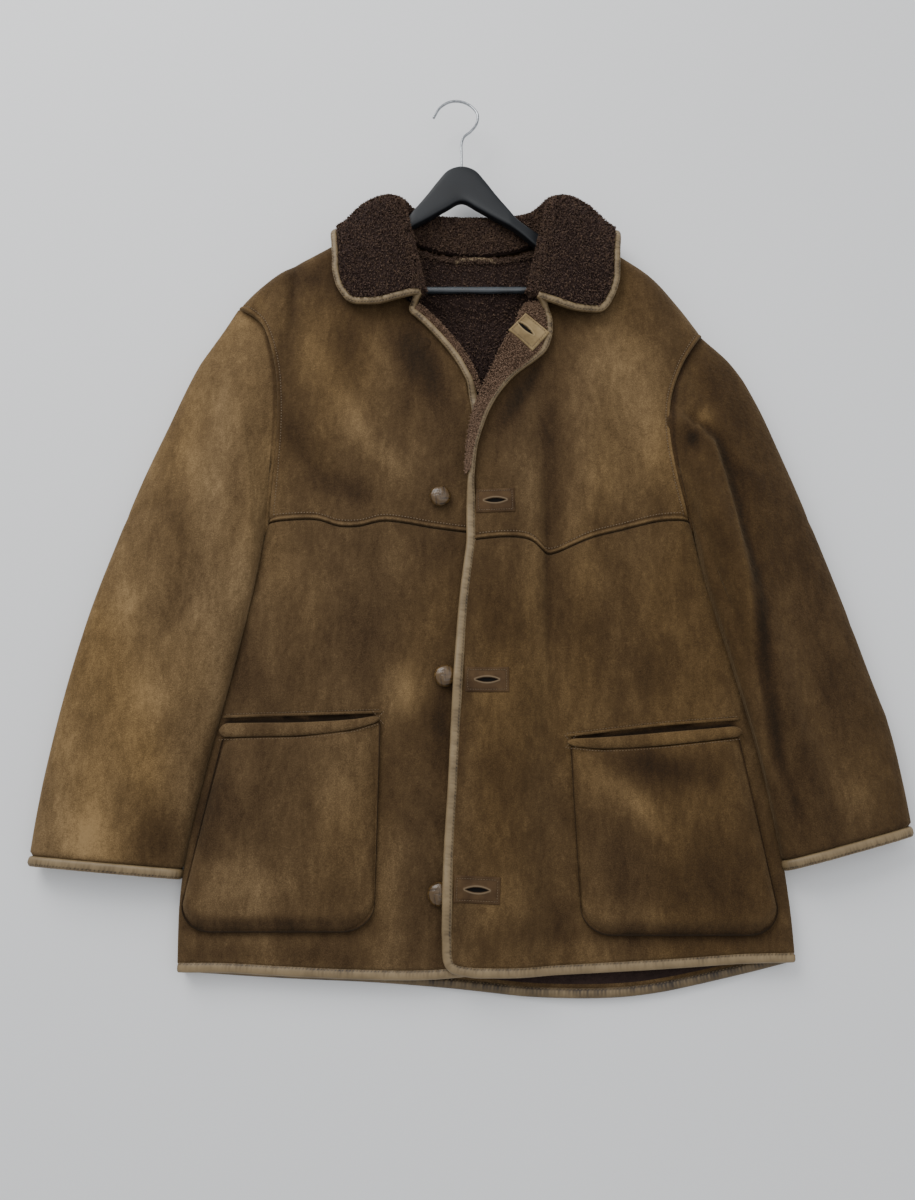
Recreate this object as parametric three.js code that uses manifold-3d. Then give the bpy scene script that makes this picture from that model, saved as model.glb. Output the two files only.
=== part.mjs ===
// Shearling coat lying on its back, front up, with the trouser hanger it hangs on.
// Millimetres, +Z up. The collar points to +Y, the wearer's right side is at -X.
// Every cloth piece is a wall of sheepskin with a true inside and outside face, and pieces
// that are sewn together share one seam line, each kept a little back from it.

import * as THREE from 'three';
import { mergeVertices } from 'three/addons/utils/BufferGeometryUtils.js';
import Module from 'manifold-3d';

const wasm = await Module();
wasm.setup();

// Driving sizes
const SKIN = 8;              // sheepskin of the body, suede and clipped wool together
const SLEEVE_SKIN = 7;       // sleeves are cut from thinner skins
const COLLAR_SKIN = 7;
const COLLAR_RAISE = 9.2;    // the back lies this much higher over the fall of the collar
const SEAM_GAP = 0.6;        // each piece keeps this far back from its seam line
const YOKE_GAP = 1.1;
const SLEEVE_GAP = { right: 1.2, left: -0.3 };
const BINDING_WIDTH = 11;    // leather strip folded over the raw edges
const BINDING_THICK = 8.4;
const HALF_BINDING = BINDING_WIDTH / 2;
const BOUND_INSET = BINDING_WIDTH + 0.9;
const RIM_RADIUS = 17;       // how far in from a side or shoulder seam the top has risen
const OVERLAP_LIFT = 9.6;    // the left front lies on the right front
const BUTTON_RADIUS = 11.25;
const BUTTON_HEIGHT = 9;
const BUTTON_LIFT = 11;      // the left edge rides up over the buttons
const POCKET_SKIN = 6;
const WIRE_RADIUS = 1.6;     // hook of the hanger
const BAR_RADIUS = 4;
const HANGER_DEPTH = 11;
const HANGER_BEVEL = 2.5;
const STRIP_SIDES = 6;       // faces round a binding

const COLLAR_MIDDLE = 16;    // x of the middle of the neck
const COLLAR_SPREAD = 150;   // half width of the part of the back that lies on the collar
const COLLAR_REACH = 60;
const COLLAR_CENTRE_Y = 445;

// Colours
const SUEDE = { color: 0x6b4f30, roughness: 0.95, metalness: 0 };
const FLEECE = { color: 0x3d2b22, roughness: 1.0, metalness: 0 };
const LEATHER = { color: 0x8a7654, roughness: 0.6, metalness: 0 };
const BUTTON_LEATHER = { color: 0x5a4028, roughness: 0.4, metalness: 0 };
const CHARCOAL = { color: 0x2c3036, roughness: 0.45, metalness: 0 };
const CHROME = { color: 0xc8ccd0, roughness: 0.2, metalness: 1 };

// Seam lines seen from above, columns x, y, from the neck to the shoulder tip
const SHOULDER = {
  right: [[-72, 475], [-110, 456], [-146, 434], [-203, 402], [-230, 380], [-250, 357]],
  left: [[104, 471], [140, 448], [173, 425], [213, 397], [243, 360], [267, 324]],
};

// Shoulder tip to underarm
const ARMHOLE = {
  right: [[-250, 357], [-222, 334], [-207, 292], [-201, 234], [-202, 168], [-205, 106]],
  left: [[267, 324], [243, 286], [229, 246], [226, 205], [232, 155], [241, 108]],
};

// Underarm to hem
const SIDE = {
  right: [[-205, 106], [-217, 37], [-235, -60], [-253, -145], [-267, -220], [-272, -275], [-270, -343]],
  left: [[241, 108], [252, 50], [276, -45], [297, -140], [310, -225], [315, -285], [316, -334]],
};

// Front yoke seams, from the front edge to the armhole
const YOKE = {
  right: [[32, 92], [0, 95], [-33, 100], [-60, 105], [-84, 107], [-109, 101], [-130, 101],
    [-154, 108], [-205, 106]],
  left: [[4, 82], [46, 86], [72, 84], [88, 72], [102, 73], [137, 87], [166, 95], [208, 106], [241, 108]],
};

// Neck, fold and front edge of each front above the yoke seam, from the shoulder down
const FRONT_UPPER = {
  right: [[-72, 475], [-84, 440], [-78, 398], [-60, 364], [-34, 349], [-14, 318], [2, 287], [14, 260],
    [24, 210], [30, 150], [32, 92]],
  left: [[104, 471], [116, 438], [110, 398], [92, 360], [64, 340], [44, 303], [30, 270], [17, 238],
    [8, 206], [4, 169], [4, 130], [4, 82]],
};

// Front edges below the yoke seam, down to the start of the rounded corner
const FRONT_LOWER = {
  right: [[32, 92], [34, -40], [34, -200], [32, -343]],
  left: [[4, 82], [-4, 15], [-10, -70], [-15, -171], [-19, -239], [-20, -293], [-20, -345]],
};

// Hems, from the front edge to the side
const HEM = {
  right: [[32, -343], [-24, -349], [-97, -349], [-171, -346], [-227, -343], [-270, -343]],
  left: [[-20, -345], [35, -347], [112, -344], [202, -339], [269, -335], [316, -334]],
  back: [[-270, -343], [-171, -349], [-81, -353], [-2, -359], [71, -366], [163, -365], [256, -348],
    [316, -334]],
};

const FRONT_CORNER = { x: -20, y: -346, radius: 28 };

const BACK_NECK = [[-72, 475], [-58, 446], [-24, 433], [16, 430], [60, 432], [90, 444], [104, 471]];

// Turned-back edges of the fronts: the fold and the bound outer edge, from the gorge down
const LAPEL = {
  right: {
    fold: [[-40, 353], [-28, 340], [-12, 314], [3, 284], [13, 262], [18, 246]],
    edge: [[-59, 347], [-45, 331], [-28, 312], [-11, 290], [1, 268], [10, 246]],
  },
  left: {
    fold: [[63, 340], [55, 322], [44, 302], [31, 272], [18, 240], [9, 206], [3, 166]],
    edge: [[99, 346], [102, 322], [96, 300], [77, 280], [58, 263], [36, 233], [22, 197], [14, 160]],
  },
};

const LAPEL_LIFT = SKIN / 2 + BINDING_THICK / 2 + 0.8;
const LAPEL_TAPER = 44;      // below this the turned edge of the left front is all binding
const LAPEL_SEAT = 0.5;      // how far the wool of the left lapel is drawn back from its binding
const LAPEL_STRIP = { width: 7.2, from: 0.03, to: 0.8, seat: 0.3 };   // wool on the right lapel

// Height of the upper layer above the floor, columns y, z
const LEVEL = [[-400, 15], [-340, 15.5], [-100, 18.5], [90, 23], [250, 28.5], [330, 33], [400, 38.5],
  [440, 42.5], [500, 42.5]];

// Soft folds, columns x, y, half length, half width, turn in degrees from +Y, height
const FOLDS = {
  right: [
    [-197, 345, 60, 20, 4, 4],
    [-120, 230, 110, 34, -24, 4],
    [-60, 40, 90, 40, 12, -3],
    [-150, -20, 80, 34, -12, 3],
    [-60, -220, 110, 26, 3, 3],
    [-210, -170, 120, 24, 10, 2.5],
  ],
  left: [
    [212, 345, 60, 20, -24, 4],
    [98, 110, 150, 12, 2, -5],
    [132, 160, 150, 24, 4, 6],
    [176, 20, 120, 30, -12, 4],
    [62, -60, 120, 24, 6, 3],
    [200, -230, 100, 34, 5, 5],
    [80, 330, 70, 22, -20, 2],
  ],
};

// Sleeves: outer and inner edge seen from above from armhole to cuff, and the height of the
// upper layer along the sleeve, columns share of length, z
const SLEEVE = {
  right: {
    outer: [[-250, 357], [-289, 283], [-317, 210], [-339, 150], [-361, 80], [-381, 10], [-396, -60],
      [-407, -130], [-414, -190], [-418, -246]],
    inner: [[-211, 97], [-223, 30], [-241, -62], [-259, -146], [-272, -215], [-278, -258]],
    top: [[0, 34], [0.12, 42], [0.35, 40], [0.6, 36], [0.85, 33], [1, 30]],
    folds: [[0.3, 0.32, 0.2, 0.14, 4], [0.5, 0.72, 0.16, 0.16, 3], [0.66, 0.3, 0.12, 0.2, -3],
      [0.82, 0.62, 0.12, 0.2, 3]],
  },
  left: {
    outer: [[267, 324], [296, 292], [320, 242], [340, 183], [362, 113], [388, 24], [410, -58],
      [424, -110], [432, -165], [437, -218]],
    inner: [[250, 98], [260, 45], [283, -45], [304, -138], [317, -220], [321, -250]],
    top: [[0, 30], [0.12, 38], [0.35, 41], [0.6, 40], [0.85, 36], [1, 32]],
    folds: [[0.22, 0.62, 0.34, 0.1, 6], [0.2, 0.84, 0.3, 0.07, -7], [0.6, 0.74, 0.3, 0.1, 5],
      [0.5, 0.34, 0.2, 0.2, -2]],
  },
};

// Collar sections from the end of the right leaf to the middle of the back, columns for the
// neck seam, the stand, the top of the stand, the turn, the fall and the outer edge
const COLLAR = [
  { seam: [-54, 364, 41], stand: [-47, 362, 43], top: [-42, 359, 50],
    turn: [-51, 357, 57], fall: [-88, 349, 53], edge: [-122, 352, 48] },
  { seam: [-69, 392, 42], stand: [-60, 390, 45], top: [-49, 387, 53],
    turn: [-58, 386, 60], fall: [-100, 379, 56], edge: [-142, 378, 49] },
  { seam: [-78, 430, 46], stand: [-69, 429, 48], top: [-58, 427, 55],
    turn: [-68, 427, 62], fall: [-106, 424, 58], edge: [-146, 418, 52] },
  { seam: [-75, 459, 44], stand: [-71, 464, 47], top: [-67, 466, 53],
    turn: [-78, 476, 57], fall: [-110, 474, 47], edge: [-150, 452, 32] },
  { seam: [-69, 481, 27], stand: [-68, 488, 30], top: [-71, 494, 33],
    turn: [-87, 500, 22], fall: [-114, 489, 6], edge: [-143, 454, 4] },
  { seam: [-55, 451, 17], stand: [-51, 465, 20], top: [-46, 478, 22],
    turn: [-54, 488, 12], fall: [-66, 474, 4], edge: [-88, 412, 4] },
  { seam: [16, 434, 14.5], stand: [16, 452, 18], top: [16, 471, 21],
    turn: [16, 481, 12], fall: [16, 471, 4], edge: [16, 402, 4] },
];
const LEFT_LEAF_DROP = [0, 0, 2, 4, 8, 12];

// Pockets: x of the sides at top and bottom, y of the mouth at both ends and of the bottom
const POCKET = {
  right: { left: [-234, -262], right: [-82, -84], mouth: [-123, -117], bottom: -306 },
  left: { left: [108, 113], right: [276, 301], mouth: [-135, -124], bottom: -309 },
};
const POCKET_CORNER = 26;
const POCKET_SEAT = 1.2;     // between the pocket and the skin that it is sewn to
const WELT_HEIGHT = 15;
const WELT_HALF_THICK = 3.4;

// Buttons on the right front, columns x, y
const BUTTONS = [[-45, 306], [-23, 132], [-17, -60], [-22, -271]];

// Buttonhole patches, columns x, y, turn in degrees, width, height
const PATCHES = [
  ['buttonhole_patch_2', 35, 125, 2, 41, 26],
  ['buttonhole_patch_3', 25, -65, 0, 44, 25],
  ['buttonhole_patch_4', 14, -267, -3, 44, 25],
];
const LAPEL_PATCH = { x: 74, y: 312, turn: -42, width: 34, height: 30 };
const SLOT_LENGTH = 24;
const SLOT_HEIGHT = 5;
const PATCH_THICK = 1.4;
const PATCH_SEAT = 1.3;
const CORNER_REACH = 1.36;   // a patch's corners are cut off a little, a square one would have 1.41

// Hanger outline, right half, columns x, y of the upper and of the lower edge
const HANGER_UPPER = [[0, 538], [15, 533], [27, 518], [39, 500], [52, 482], [63, 468], [80, 456],
  [100, 445], [120, 434], [150, 415], [180, 396], [195, 385], [198, 377]];
const HANGER_LOWER = [[193, 370], [184, 370], [172, 377], [150, 390], [120, 411], [90, 431], [62, 453],
  [38, 468], [18, 481], [0, 491]];
const HANGER_Z = [[0, 36], [56, 36], [75, 32.5], [100, 27], [150, 22], [220, 21]];
const BAR_Y = 386;
const BAR_LENGTH = 326;
const HOOK_SEAT = 3.3;
const HOOK = [[0, 535], [0, 556], [0, 568], [3, 578], [11, 586], [18, 597], [19, 610], [12, 621],
  [0, 628], [-13, 628], [-25, 620], [-33, 605]];

// Small helpers

const coat = new THREE.Group();
const UP = new THREE.Vector3(0, 0, 1);

function smooth(x, from, to) {
  return THREE.MathUtils.smoothstep(x, from, to);
}

function valueAt(table, x) {
  if (x <= table[0][0]) return table[0][1];
  for (let i = 1; i < table.length; i++) {
    if (x <= table[i][0]) {
      const share = (x - table[i - 1][0]) / (table[i][0] - table[i - 1][0]);
      return THREE.MathUtils.lerp(table[i - 1][1], table[i][1], share);
    }
  }
  return table[table.length - 1][1];
}

// A smooth line through table points, read by the share of its length
function line(...tables) {
  const points = tables.flat().map(([x, y, z = 0]) => new THREE.Vector3(x, y, z));
  const kept = points.filter((p, i) => i === 0 || p.distanceTo(points[i - 1]) > 0.01);
  const curve = new THREE.CatmullRomCurve3(kept, false, 'centripetal');
  curve.arcLengthDivisions = 400;
  return (t) => curve.getPointAt(THREE.MathUtils.clamp(t, 0, 1));
}

function distanceToPolyline(table, x, y) {
  let best = Infinity;
  for (let i = 1; i < table.length; i++) {
    const [ax, ay] = table[i - 1];
    const [bx, by] = table[i];
    const length2 = (bx - ax) ** 2 + (by - ay) ** 2;
    const along = ((x - ax) * (bx - ax) + (y - ay) * (by - ay)) / length2;
    const t = THREE.MathUtils.clamp(along, 0, 1);
    best = Math.min(best, Math.hypot(x - ax - t * (bx - ax), y - ay - t * (by - ay)));
  }
  return best;
}

function foldsAt(table, x, y) {
  let sum = 0;
  for (const [fx, fy, halfLength, halfWidth, turn, height] of table) {
    const angle = THREE.MathUtils.degToRad(turn);
    const along = (x - fx) * Math.sin(angle) + (y - fy) * Math.cos(angle);
    const across = (x - fx) * Math.cos(angle) - (y - fy) * Math.sin(angle);
    sum += height * Math.exp(-((along / halfLength) ** 2) - (across / halfWidth) ** 2);
  }
  return sum;
}

// Rounds the lower front corner of the left front: a square of the corner's size is drawn in to
// a quarter circle, and its two inner sides stay where they are
function roundFrontCorner(point) {
  const x = (FRONT_CORNER.x + FRONT_CORNER.radius - point.x) / FRONT_CORNER.radius;
  const y = (FRONT_CORNER.y + FRONT_CORNER.radius - point.y) / FRONT_CORNER.radius;
  if (x <= 0 || y <= 0) return point;
  const drawnX = x * Math.sqrt(Math.max(0, 1 - (y * y) / 2));
  const drawnY = y * Math.sqrt(Math.max(0, 1 - (x * x) / 2));
  point.x += (x - drawnX) * FRONT_CORNER.radius;
  point.y += (y - drawnY) * FRONT_CORNER.radius;
  return point;
}

// How much the back is raised where the fall of the collar lies under it, 0 to 1
function collarZone(x, y) {
  const reach = Math.hypot((x - COLLAR_MIDDLE) / COLLAR_SPREAD, (y - COLLAR_CENTRE_Y) / COLLAR_REACH);
  return 1 - smooth(reach, 1, 1.5);
}

function backHeight(x, y) {
  return SKIN / 2 + COLLAR_RAISE * collarZone(x, y);
}

// Middle of the wall of the upper layer, the fronts
function frontHeight(side, x, y) {
  let height = valueAt(LEVEL, y) + foldsAt(FOLDS[side], x, y);
  if (side === 'left') {
    height += OVERLAP_LIFT * (1 - smooth(x, 48, 90)) * (1 - smooth(y, 300, 360));
    for (const [bx, by] of BUTTONS.slice(1)) {
      height += BUTTON_LIFT * Math.exp(-(((x - bx) / 20) ** 2) - ((y - by) / 30) ** 2);
    }
  }
  const rim = SKIN * 1.5 + 1 + COLLAR_RAISE * collarZone(x, y);
  const distance = distanceToPolyline(SHOULDER[side], x, y);
  const toSide = distanceToPolyline(SIDE[side], x, y);
  const near = Math.min(1, Math.min(distance, toSide) / RIM_RADIUS);
  const rise = (1 - (1 - near) ** 2.2) ** (1 / 2.2);
  return rim + (Math.max(height, rim) - rim) * rise;
}

// A four-sided patch between its seam lines: u runs along top and bottom, v down the sides.
// insets hold the distance that the wall keeps from each side, as numbers or functions of v.
function patch({ top, bottom, left, right, height, insets, warp = (p) => p }) {
  const corners = { tl: top(0), tr: top(1), bl: bottom(0), br: bottom(1) };
  const read = (value, t) => (typeof value === 'function' ? value(t) : value);
  return (u, v) => {
    const width = left(v).distanceTo(right(v));
    const depth = top(u).distanceTo(bottom(u));
    const u0 = read(insets.left, v) / width;
    const u1 = 1 - read(insets.right, v) / width;
    const v0 = read(insets.top, u) / depth;
    const v1 = 1 - read(insets.bottom, u) / depth;
    const a = THREE.MathUtils.lerp(u0, u1, u);
    const b = THREE.MathUtils.lerp(v0, v1, v);
    const point = new THREE.Vector3();
    point.addScaledVector(top(a), 1 - b).addScaledVector(bottom(a), b);
    point.addScaledVector(left(b), 1 - a).addScaledVector(right(b), a);
    point.addScaledVector(corners.tl, -(1 - a) * (1 - b)).addScaledVector(corners.tr, -a * (1 - b));
    point.addScaledVector(corners.bl, -(1 - a) * b).addScaledVector(corners.br, -a * b);
    warp(point);
    point.z = height(point.x, point.y);
    return point;
  };
}

// Grid stations from 0 to 1 with one extra close to each end
function stations(count, first = 0.02) {
  const list = [0, first];
  for (let i = 1; i < count; i++) list.push(i / count);
  list.push(1 - first, 1);
  return list;
}

function normalAt(surface, u, v) {
  const step = 0.004;
  const clamp = (t) => THREE.MathUtils.clamp(t, 0, 1);
  const du = surface(clamp(u + step), v).sub(surface(clamp(u - step), v));
  const dv = surface(u, clamp(v + step)).sub(surface(u, clamp(v - step)));
  return dv.cross(du).normalize();
}

function solid(positions, index) {
  const geometry = new THREE.BufferGeometry();
  geometry.setAttribute('position', new THREE.Float32BufferAttribute(positions, 3));
  geometry.setIndex(index);
  geometry.computeVertexNormals();
  return geometry;
}

// A wall of the given thickness on a surface. Its normals point up where u runs to the right
// of v running down, and flip says otherwise.
function wall(surface, us, vs, thick, { flip = false, edge = 0.6, floor = 0 } = {}) {
  const nu = us.length;
  const nv = vs.length;
  const outer = [];
  const inner = [];
  for (const [j, v] of vs.entries()) {
    for (const [i, u] of us.entries()) {
      const point = surface(u, v);
      const normal = normalAt(surface, u, v);
      if (flip) normal.negate();
      const border = i === 0 || j === 0 || i === nu - 1 || j === nv - 1;
      const half = (thick / 2) * (border ? edge : 1);
      const up = point.clone().addScaledVector(normal, half);
      const down = point.clone().addScaledVector(normal, -half);
      up.z = Math.max(up.z, floor);
      down.z = Math.max(down.z, floor);
      outer.push(up.x, up.y, up.z);
      inner.push(down.x, down.y, down.z);
    }
  }
  const index = [];
  const size = nu * nv;
  const quad = (a, b, c, d) => (flip ? index.push(a, b, c, a, c, d) : index.push(a, c, b, a, d, c));
  for (let j = 0; j < nv - 1; j++) {
    for (let i = 0; i < nu - 1; i++) {
      const a = j * nu + i;
      quad(a, a + 1, a + nu + 1, a + nu);
      quad(size + a, size + a + nu, size + a + nu + 1, size + a + 1);
    }
  }
  for (let i = 0; i < nu - 1; i++) {
    const last = (nv - 1) * nu + i;
    quad(i + 1, i, size + i, size + i + 1);
    quad(last, last + 1, size + last + 1, size + last);
  }
  for (let j = 0; j < nv - 1; j++) {
    const start = j * nu;
    const end = j * nu + nu - 1;
    quad(start, start + nu, size + start + nu, size + start);
    quad(end + nu, end, size + end, size + end + nu);
  }
  return solid([...outer, ...inner], index);
}

// A round-edged strip along a row of stations, each with a point, the direction across the
// strip and the direction up out of it
function strip(rows, halfWidth, halfThick, sides, closed = false) {
  const positions = [];
  const index = [];
  const count = rows.length;
  for (const { point, across, up } of rows) {
    for (let k = 0; k < sides; k++) {
      const angle = (2 * Math.PI * (k + 0.5)) / sides;
      const w = halfWidth * Math.sign(Math.cos(angle)) * Math.abs(Math.cos(angle)) ** 0.7;
      const h = halfThick * Math.sign(Math.sin(angle)) * Math.abs(Math.sin(angle)) ** 0.7;
      const p = point.clone().addScaledVector(across, w).addScaledVector(up, h);
      positions.push(p.x, p.y, Math.max(0, p.z));
    }
  }
  const rings = closed ? count : count - 1;
  for (let j = 0; j < rings; j++) {
    const next = ((j + 1) % count) * sides;
    for (let k = 0; k < sides; k++) {
      const a = j * sides + k;
      const b = j * sides + ((k + 1) % sides);
      const c = next + ((k + 1) % sides);
      const d = next + k;
      index.push(a, c, b, a, d, c);
    }
  }
  if (!closed) {
    const end = (count - 1) * sides;
    for (let k = 1; k < sides - 1; k++) {
      index.push(0, k, k + 1);
      index.push(end, end + k + 1, end + k);
    }
  }
  return solid(positions, index);
}

// Stations of a strip from points and their surface normals
function stripRows(points, normals, closed = false) {
  const count = points.length;
  return points.map((point, i) => {
    const before = points[closed ? (i + count - 1) % count : Math.max(0, i - 1)];
    const after = points[closed ? (i + 1) % count : Math.min(count - 1, i + 1)];
    const along = after.clone().sub(before).normalize();
    const across = along.clone().cross(normals[i]).normalize();
    const up = across.clone().cross(along).normalize();
    return { point, across, up };
  });
}

// Points along one seam line from one share of its length to another, moved sideways in plan to
// the left of their direction
function edgeRun(table, from, to, steps, inward) {
  const curve = line(table);
  const list = [];
  for (let i = 0; i <= steps; i++) {
    const t = THREE.MathUtils.lerp(from, to, i / steps);
    const point = curve(t);
    const along = curve(t + 0.004).sub(curve(t - 0.004)).normalize();
    list.push(point.add(new THREE.Vector3(-along.y, along.x, 0).multiplyScalar(inward)));
  }
  return list;
}

function add(name, geometry, look) {
  const mesh = new THREE.Mesh(geometry, new THREE.MeshStandardMaterial(look));
  mesh.name = name;
  coat.add(mesh);
  return mesh;
}

function toManifold(geometry) {
  const plain = geometry.clone();
  plain.deleteAttribute('normal');
  plain.deleteAttribute('uv');
  const merged = mergeVertices(plain, 1e-4);
  return new wasm.Manifold(new wasm.Mesh({
    numProp: 3,
    vertProperties: new Float32Array(merged.attributes.position.array),
    triVerts: new Uint32Array(merged.index.array),
  }));
}

function fromManifold(shape) {
  const mesh = shape.getMesh();
  return solid(Array.from(mesh.vertProperties), Array.from(mesh.triVerts));
}

// Back

const backTop = line([...SHOULDER.right].reverse(), BACK_NECK, SHOULDER.left);
const backPatch = patch({
  top: backTop,
  bottom: line(HEM.back),
  left: line(ARMHOLE.right, SIDE.right),
  right: line(ARMHOLE.left, SIDE.left),
  height: backHeight,
  insets: { left: SEAM_GAP, right: SEAM_GAP, top: SEAM_GAP, bottom: BOUND_INSET },
});
const backStations = [0, 0.01, 0.05, 0.085, 0.12, 0.16, 0.21, 0.27, 0.34, 0.42, 0.5, 0.58, 0.66, 0.74,
  0.82, 0.9, 0.96, 0.99, 1];
add('back', wall(backPatch, stations(18, 0.012), backStations, SKIN), SUEDE);

// Fronts, each an upper yoke and a lower panel

// The plain seam gap along the neck, growing to the width of the binding below it
const upperInset = (bareTo) => (v) => (
  THREE.MathUtils.lerp(SEAM_GAP, BOUND_INSET, smooth(v, bareTo, bareTo + 0.06)));

const yokePatch = {
  right: patch({
    top: line([...SHOULDER.right].reverse()),
    bottom: line([...YOKE.right].reverse()),
    left: line(ARMHOLE.right),
    right: line(FRONT_UPPER.right),
    height: (x, y) => frontHeight('right', x, y),
    insets: { left: SEAM_GAP, right: upperInset(0.522), top: SEAM_GAP, bottom: YOKE_GAP },
  }),
  left: patch({
    top: line(SHOULDER.left),
    bottom: line(YOKE.left),
    left: line(FRONT_UPPER.left),
    right: line(ARMHOLE.left),
    height: (x, y) => frontHeight('left', x, y),
    insets: { left: upperInset(0.765), right: SEAM_GAP, top: SEAM_GAP, bottom: YOKE_GAP },
  }),
};
const lowerPatch = {
  right: patch({
    top: line([...YOKE.right].reverse()),
    bottom: line([...HEM.right].reverse()),
    left: line(SIDE.right),
    right: line(FRONT_LOWER.right),
    height: (x, y) => frontHeight('right', x, y),
    insets: { left: SEAM_GAP, right: BOUND_INSET, top: YOKE_GAP, bottom: BOUND_INSET },
  }),
  left: patch({
    top: line(YOKE.left),
    bottom: line(HEM.left),
    left: line(FRONT_LOWER.left),
    right: line(SIDE.left),
    height: (x, y) => frontHeight('left', x, y),
    insets: { left: BOUND_INSET, right: SEAM_GAP, top: YOKE_GAP, bottom: BOUND_INSET },
    warp: roundFrontCorner,
  }),
};
const shoulderStations = [0, 0.016, 0.04, 0.075, 0.15, 0.25, 0.35, 0.46, 0.58, 0.7, 0.82, 0.92, 0.985, 1];
const sideStations = [0, 0.018, 0.05, 0.11, 0.2, 0.3, 0.41, 0.53, 0.66, 0.78, 0.9, 0.975, 1];
const mirrored = (list) => list.map((t) => 1 - t).reverse();
add('front_right_yoke', wall(yokePatch.right, stations(10, 0.03), shoulderStations, SKIN), SUEDE);
add('front_left_yoke', wall(yokePatch.left, stations(10, 0.03), shoulderStations, SKIN), SUEDE);
add('front_right_lower', wall(lowerPatch.right, sideStations, stations(13, 0.02), SKIN), SUEDE);
add('front_left_lower', wall(lowerPatch.left, mirrored(sideStations), stations(13, 0.02), SKIN), SUEDE);

// Turned-back edges of the fronts, wool side up: on the right a narrow roll of wool inside the
// binding, on the left a lapel

const rollPoints = edgeRun(LAPEL.right.edge, LAPEL_STRIP.from, LAPEL_STRIP.to, 10,
  BINDING_WIDTH + SEAM_GAP + LAPEL_STRIP.width / 2);
for (const point of rollPoints) {
  point.z = frontHeight('right', point.x, point.y) + (SKIN + COLLAR_SKIN) / 2 + LAPEL_STRIP.seat;
}
const rollRows = stripRows(rollPoints, rollPoints.map(() => UP));
add('lapel_right', strip(rollRows, LAPEL_STRIP.width / 2, COLLAR_SKIN / 2, STRIP_SIDES), FLEECE);

const lapelPatch = patch({
  top: line([LAPEL.left.fold[0], LAPEL.left.edge[0]]),
  bottom: line([LAPEL.left.fold.at(-1), LAPEL.left.edge.at(-1)]),
  left: line(LAPEL.left.fold),
  right: line(LAPEL.left.edge),
  height: (x, y) => frontHeight('left', x, y) + LAPEL_LIFT,
  insets: { left: 0, right: BOUND_INSET + LAPEL_SEAT, top: 0.5, bottom: LAPEL_TAPER },
});
add('lapel_left', wall(lapelPatch, [0, 0.2, 0.5, 0.8, 1], stations(10, 0.03), COLLAR_SKIN), FLEECE);

// Sleeves, flattened tubes open at armhole and cuff

function sleeveSurface(side) {
  const sign = side === 'right' ? 1 : -1;
  const data = SLEEVE[side];
  const outer = line(data.outer);
  const inner = line(data.inner);
  const armhole = line(ARMHOLE[side]);
  const tip = armhole(0);
  const underarm = armhole(1);
  return (u, v) => {
    const angle = 2 * Math.PI * u * sign;
    const c = 0.5 - 0.5 * Math.cos(angle);
    const point = outer(v).lerp(inner(v), c);
    const bow = armhole(c).sub(tip.clone().lerp(underarm, c));
    point.addScaledVector(bow, (1 - v) ** 1.6);
    const away = new THREE.Vector3(-sign, 0, 0);
    point.addScaledVector(away, SLEEVE_GAP[side] * (1 - v) ** 8);
    const floor = SLEEVE_SKIN / 2;
    let top = valueAt(data.top, v);
    for (const [fv, fc, halfLength, halfWidth, height] of data.folds) {
      top += height * Math.exp(-(((v - fv) / halfLength) ** 2) - ((c - fc) / halfWidth) ** 2);
    }
    if (v < 0.12) top = THREE.MathUtils.lerp(valueAt(LEVEL, point.y), top, v / 0.12);
    const middle = floor + 0.42 * (top - floor);
    const rise = Math.abs(Math.sin(angle));
    point.z = Math.sin(angle * sign) >= 0
      ? middle + (top - middle) * rise ** 0.6
      : middle - (middle - floor) * rise ** 0.45;
    return point;
  };
}

// A tube wall: u runs round and closes on itself, v runs along
function tube(surface, around, vs, thick, flip) {
  const nv = vs.length;
  const outer = [];
  const inner = [];
  for (const v of vs) {
    for (let i = 0; i < around; i++) {
      const u = i / around;
      const step = 0.004;
      const point = surface(u, v);
      const du = surface(u + step, v).sub(surface(u - step, v));
      const low = Math.max(0, v - step);
      const high = Math.min(1, v + step);
      const dv = surface(u, high).sub(surface(u, low));
      const normal = dv.cross(du).normalize();
      if (flip) normal.negate();
      const up = point.clone().addScaledVector(normal, thick / 2);
      const down = point.clone().addScaledVector(normal, -thick / 2);
      outer.push(up.x, up.y, Math.max(0, up.z));
      inner.push(down.x, down.y, down.z);
    }
  }
  const size = around * nv;
  const index = [];
  const quad = (a, b, c, d) => (flip ? index.push(a, b, c, a, c, d) : index.push(a, c, b, a, d, c));
  for (let j = 0; j < nv - 1; j++) {
    for (let i = 0; i < around; i++) {
      const a = j * around + i;
      const b = j * around + ((i + 1) % around);
      quad(a, b, b + around, a + around);
      quad(size + a, size + a + around, size + b + around, size + b);
    }
  }
  for (let i = 0; i < around; i++) {
    const b = (i + 1) % around;
    const last = size - around;
    quad(b, i, size + i, size + b);
    quad(last + i, last + b, size + last + b, size + last + i);
  }
  return solid([...outer, ...inner], index);
}

// Share of the sleeve's length that lies a distance before the cuff's edge
function beforeCuff(side, u, distance) {
  const lengthOf = (table) => table.slice(1)
    .reduce((sum, [x, y], i) => sum + Math.hypot(x - table[i][0], y - table[i][1]), 0);
  const c = 0.5 - 0.5 * Math.cos(2 * Math.PI * u);
  return 1 - distance / THREE.MathUtils.lerp(lengthOf(SLEEVE[side].outer), lengthOf(SLEEVE[side].inner), c);
}

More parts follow.
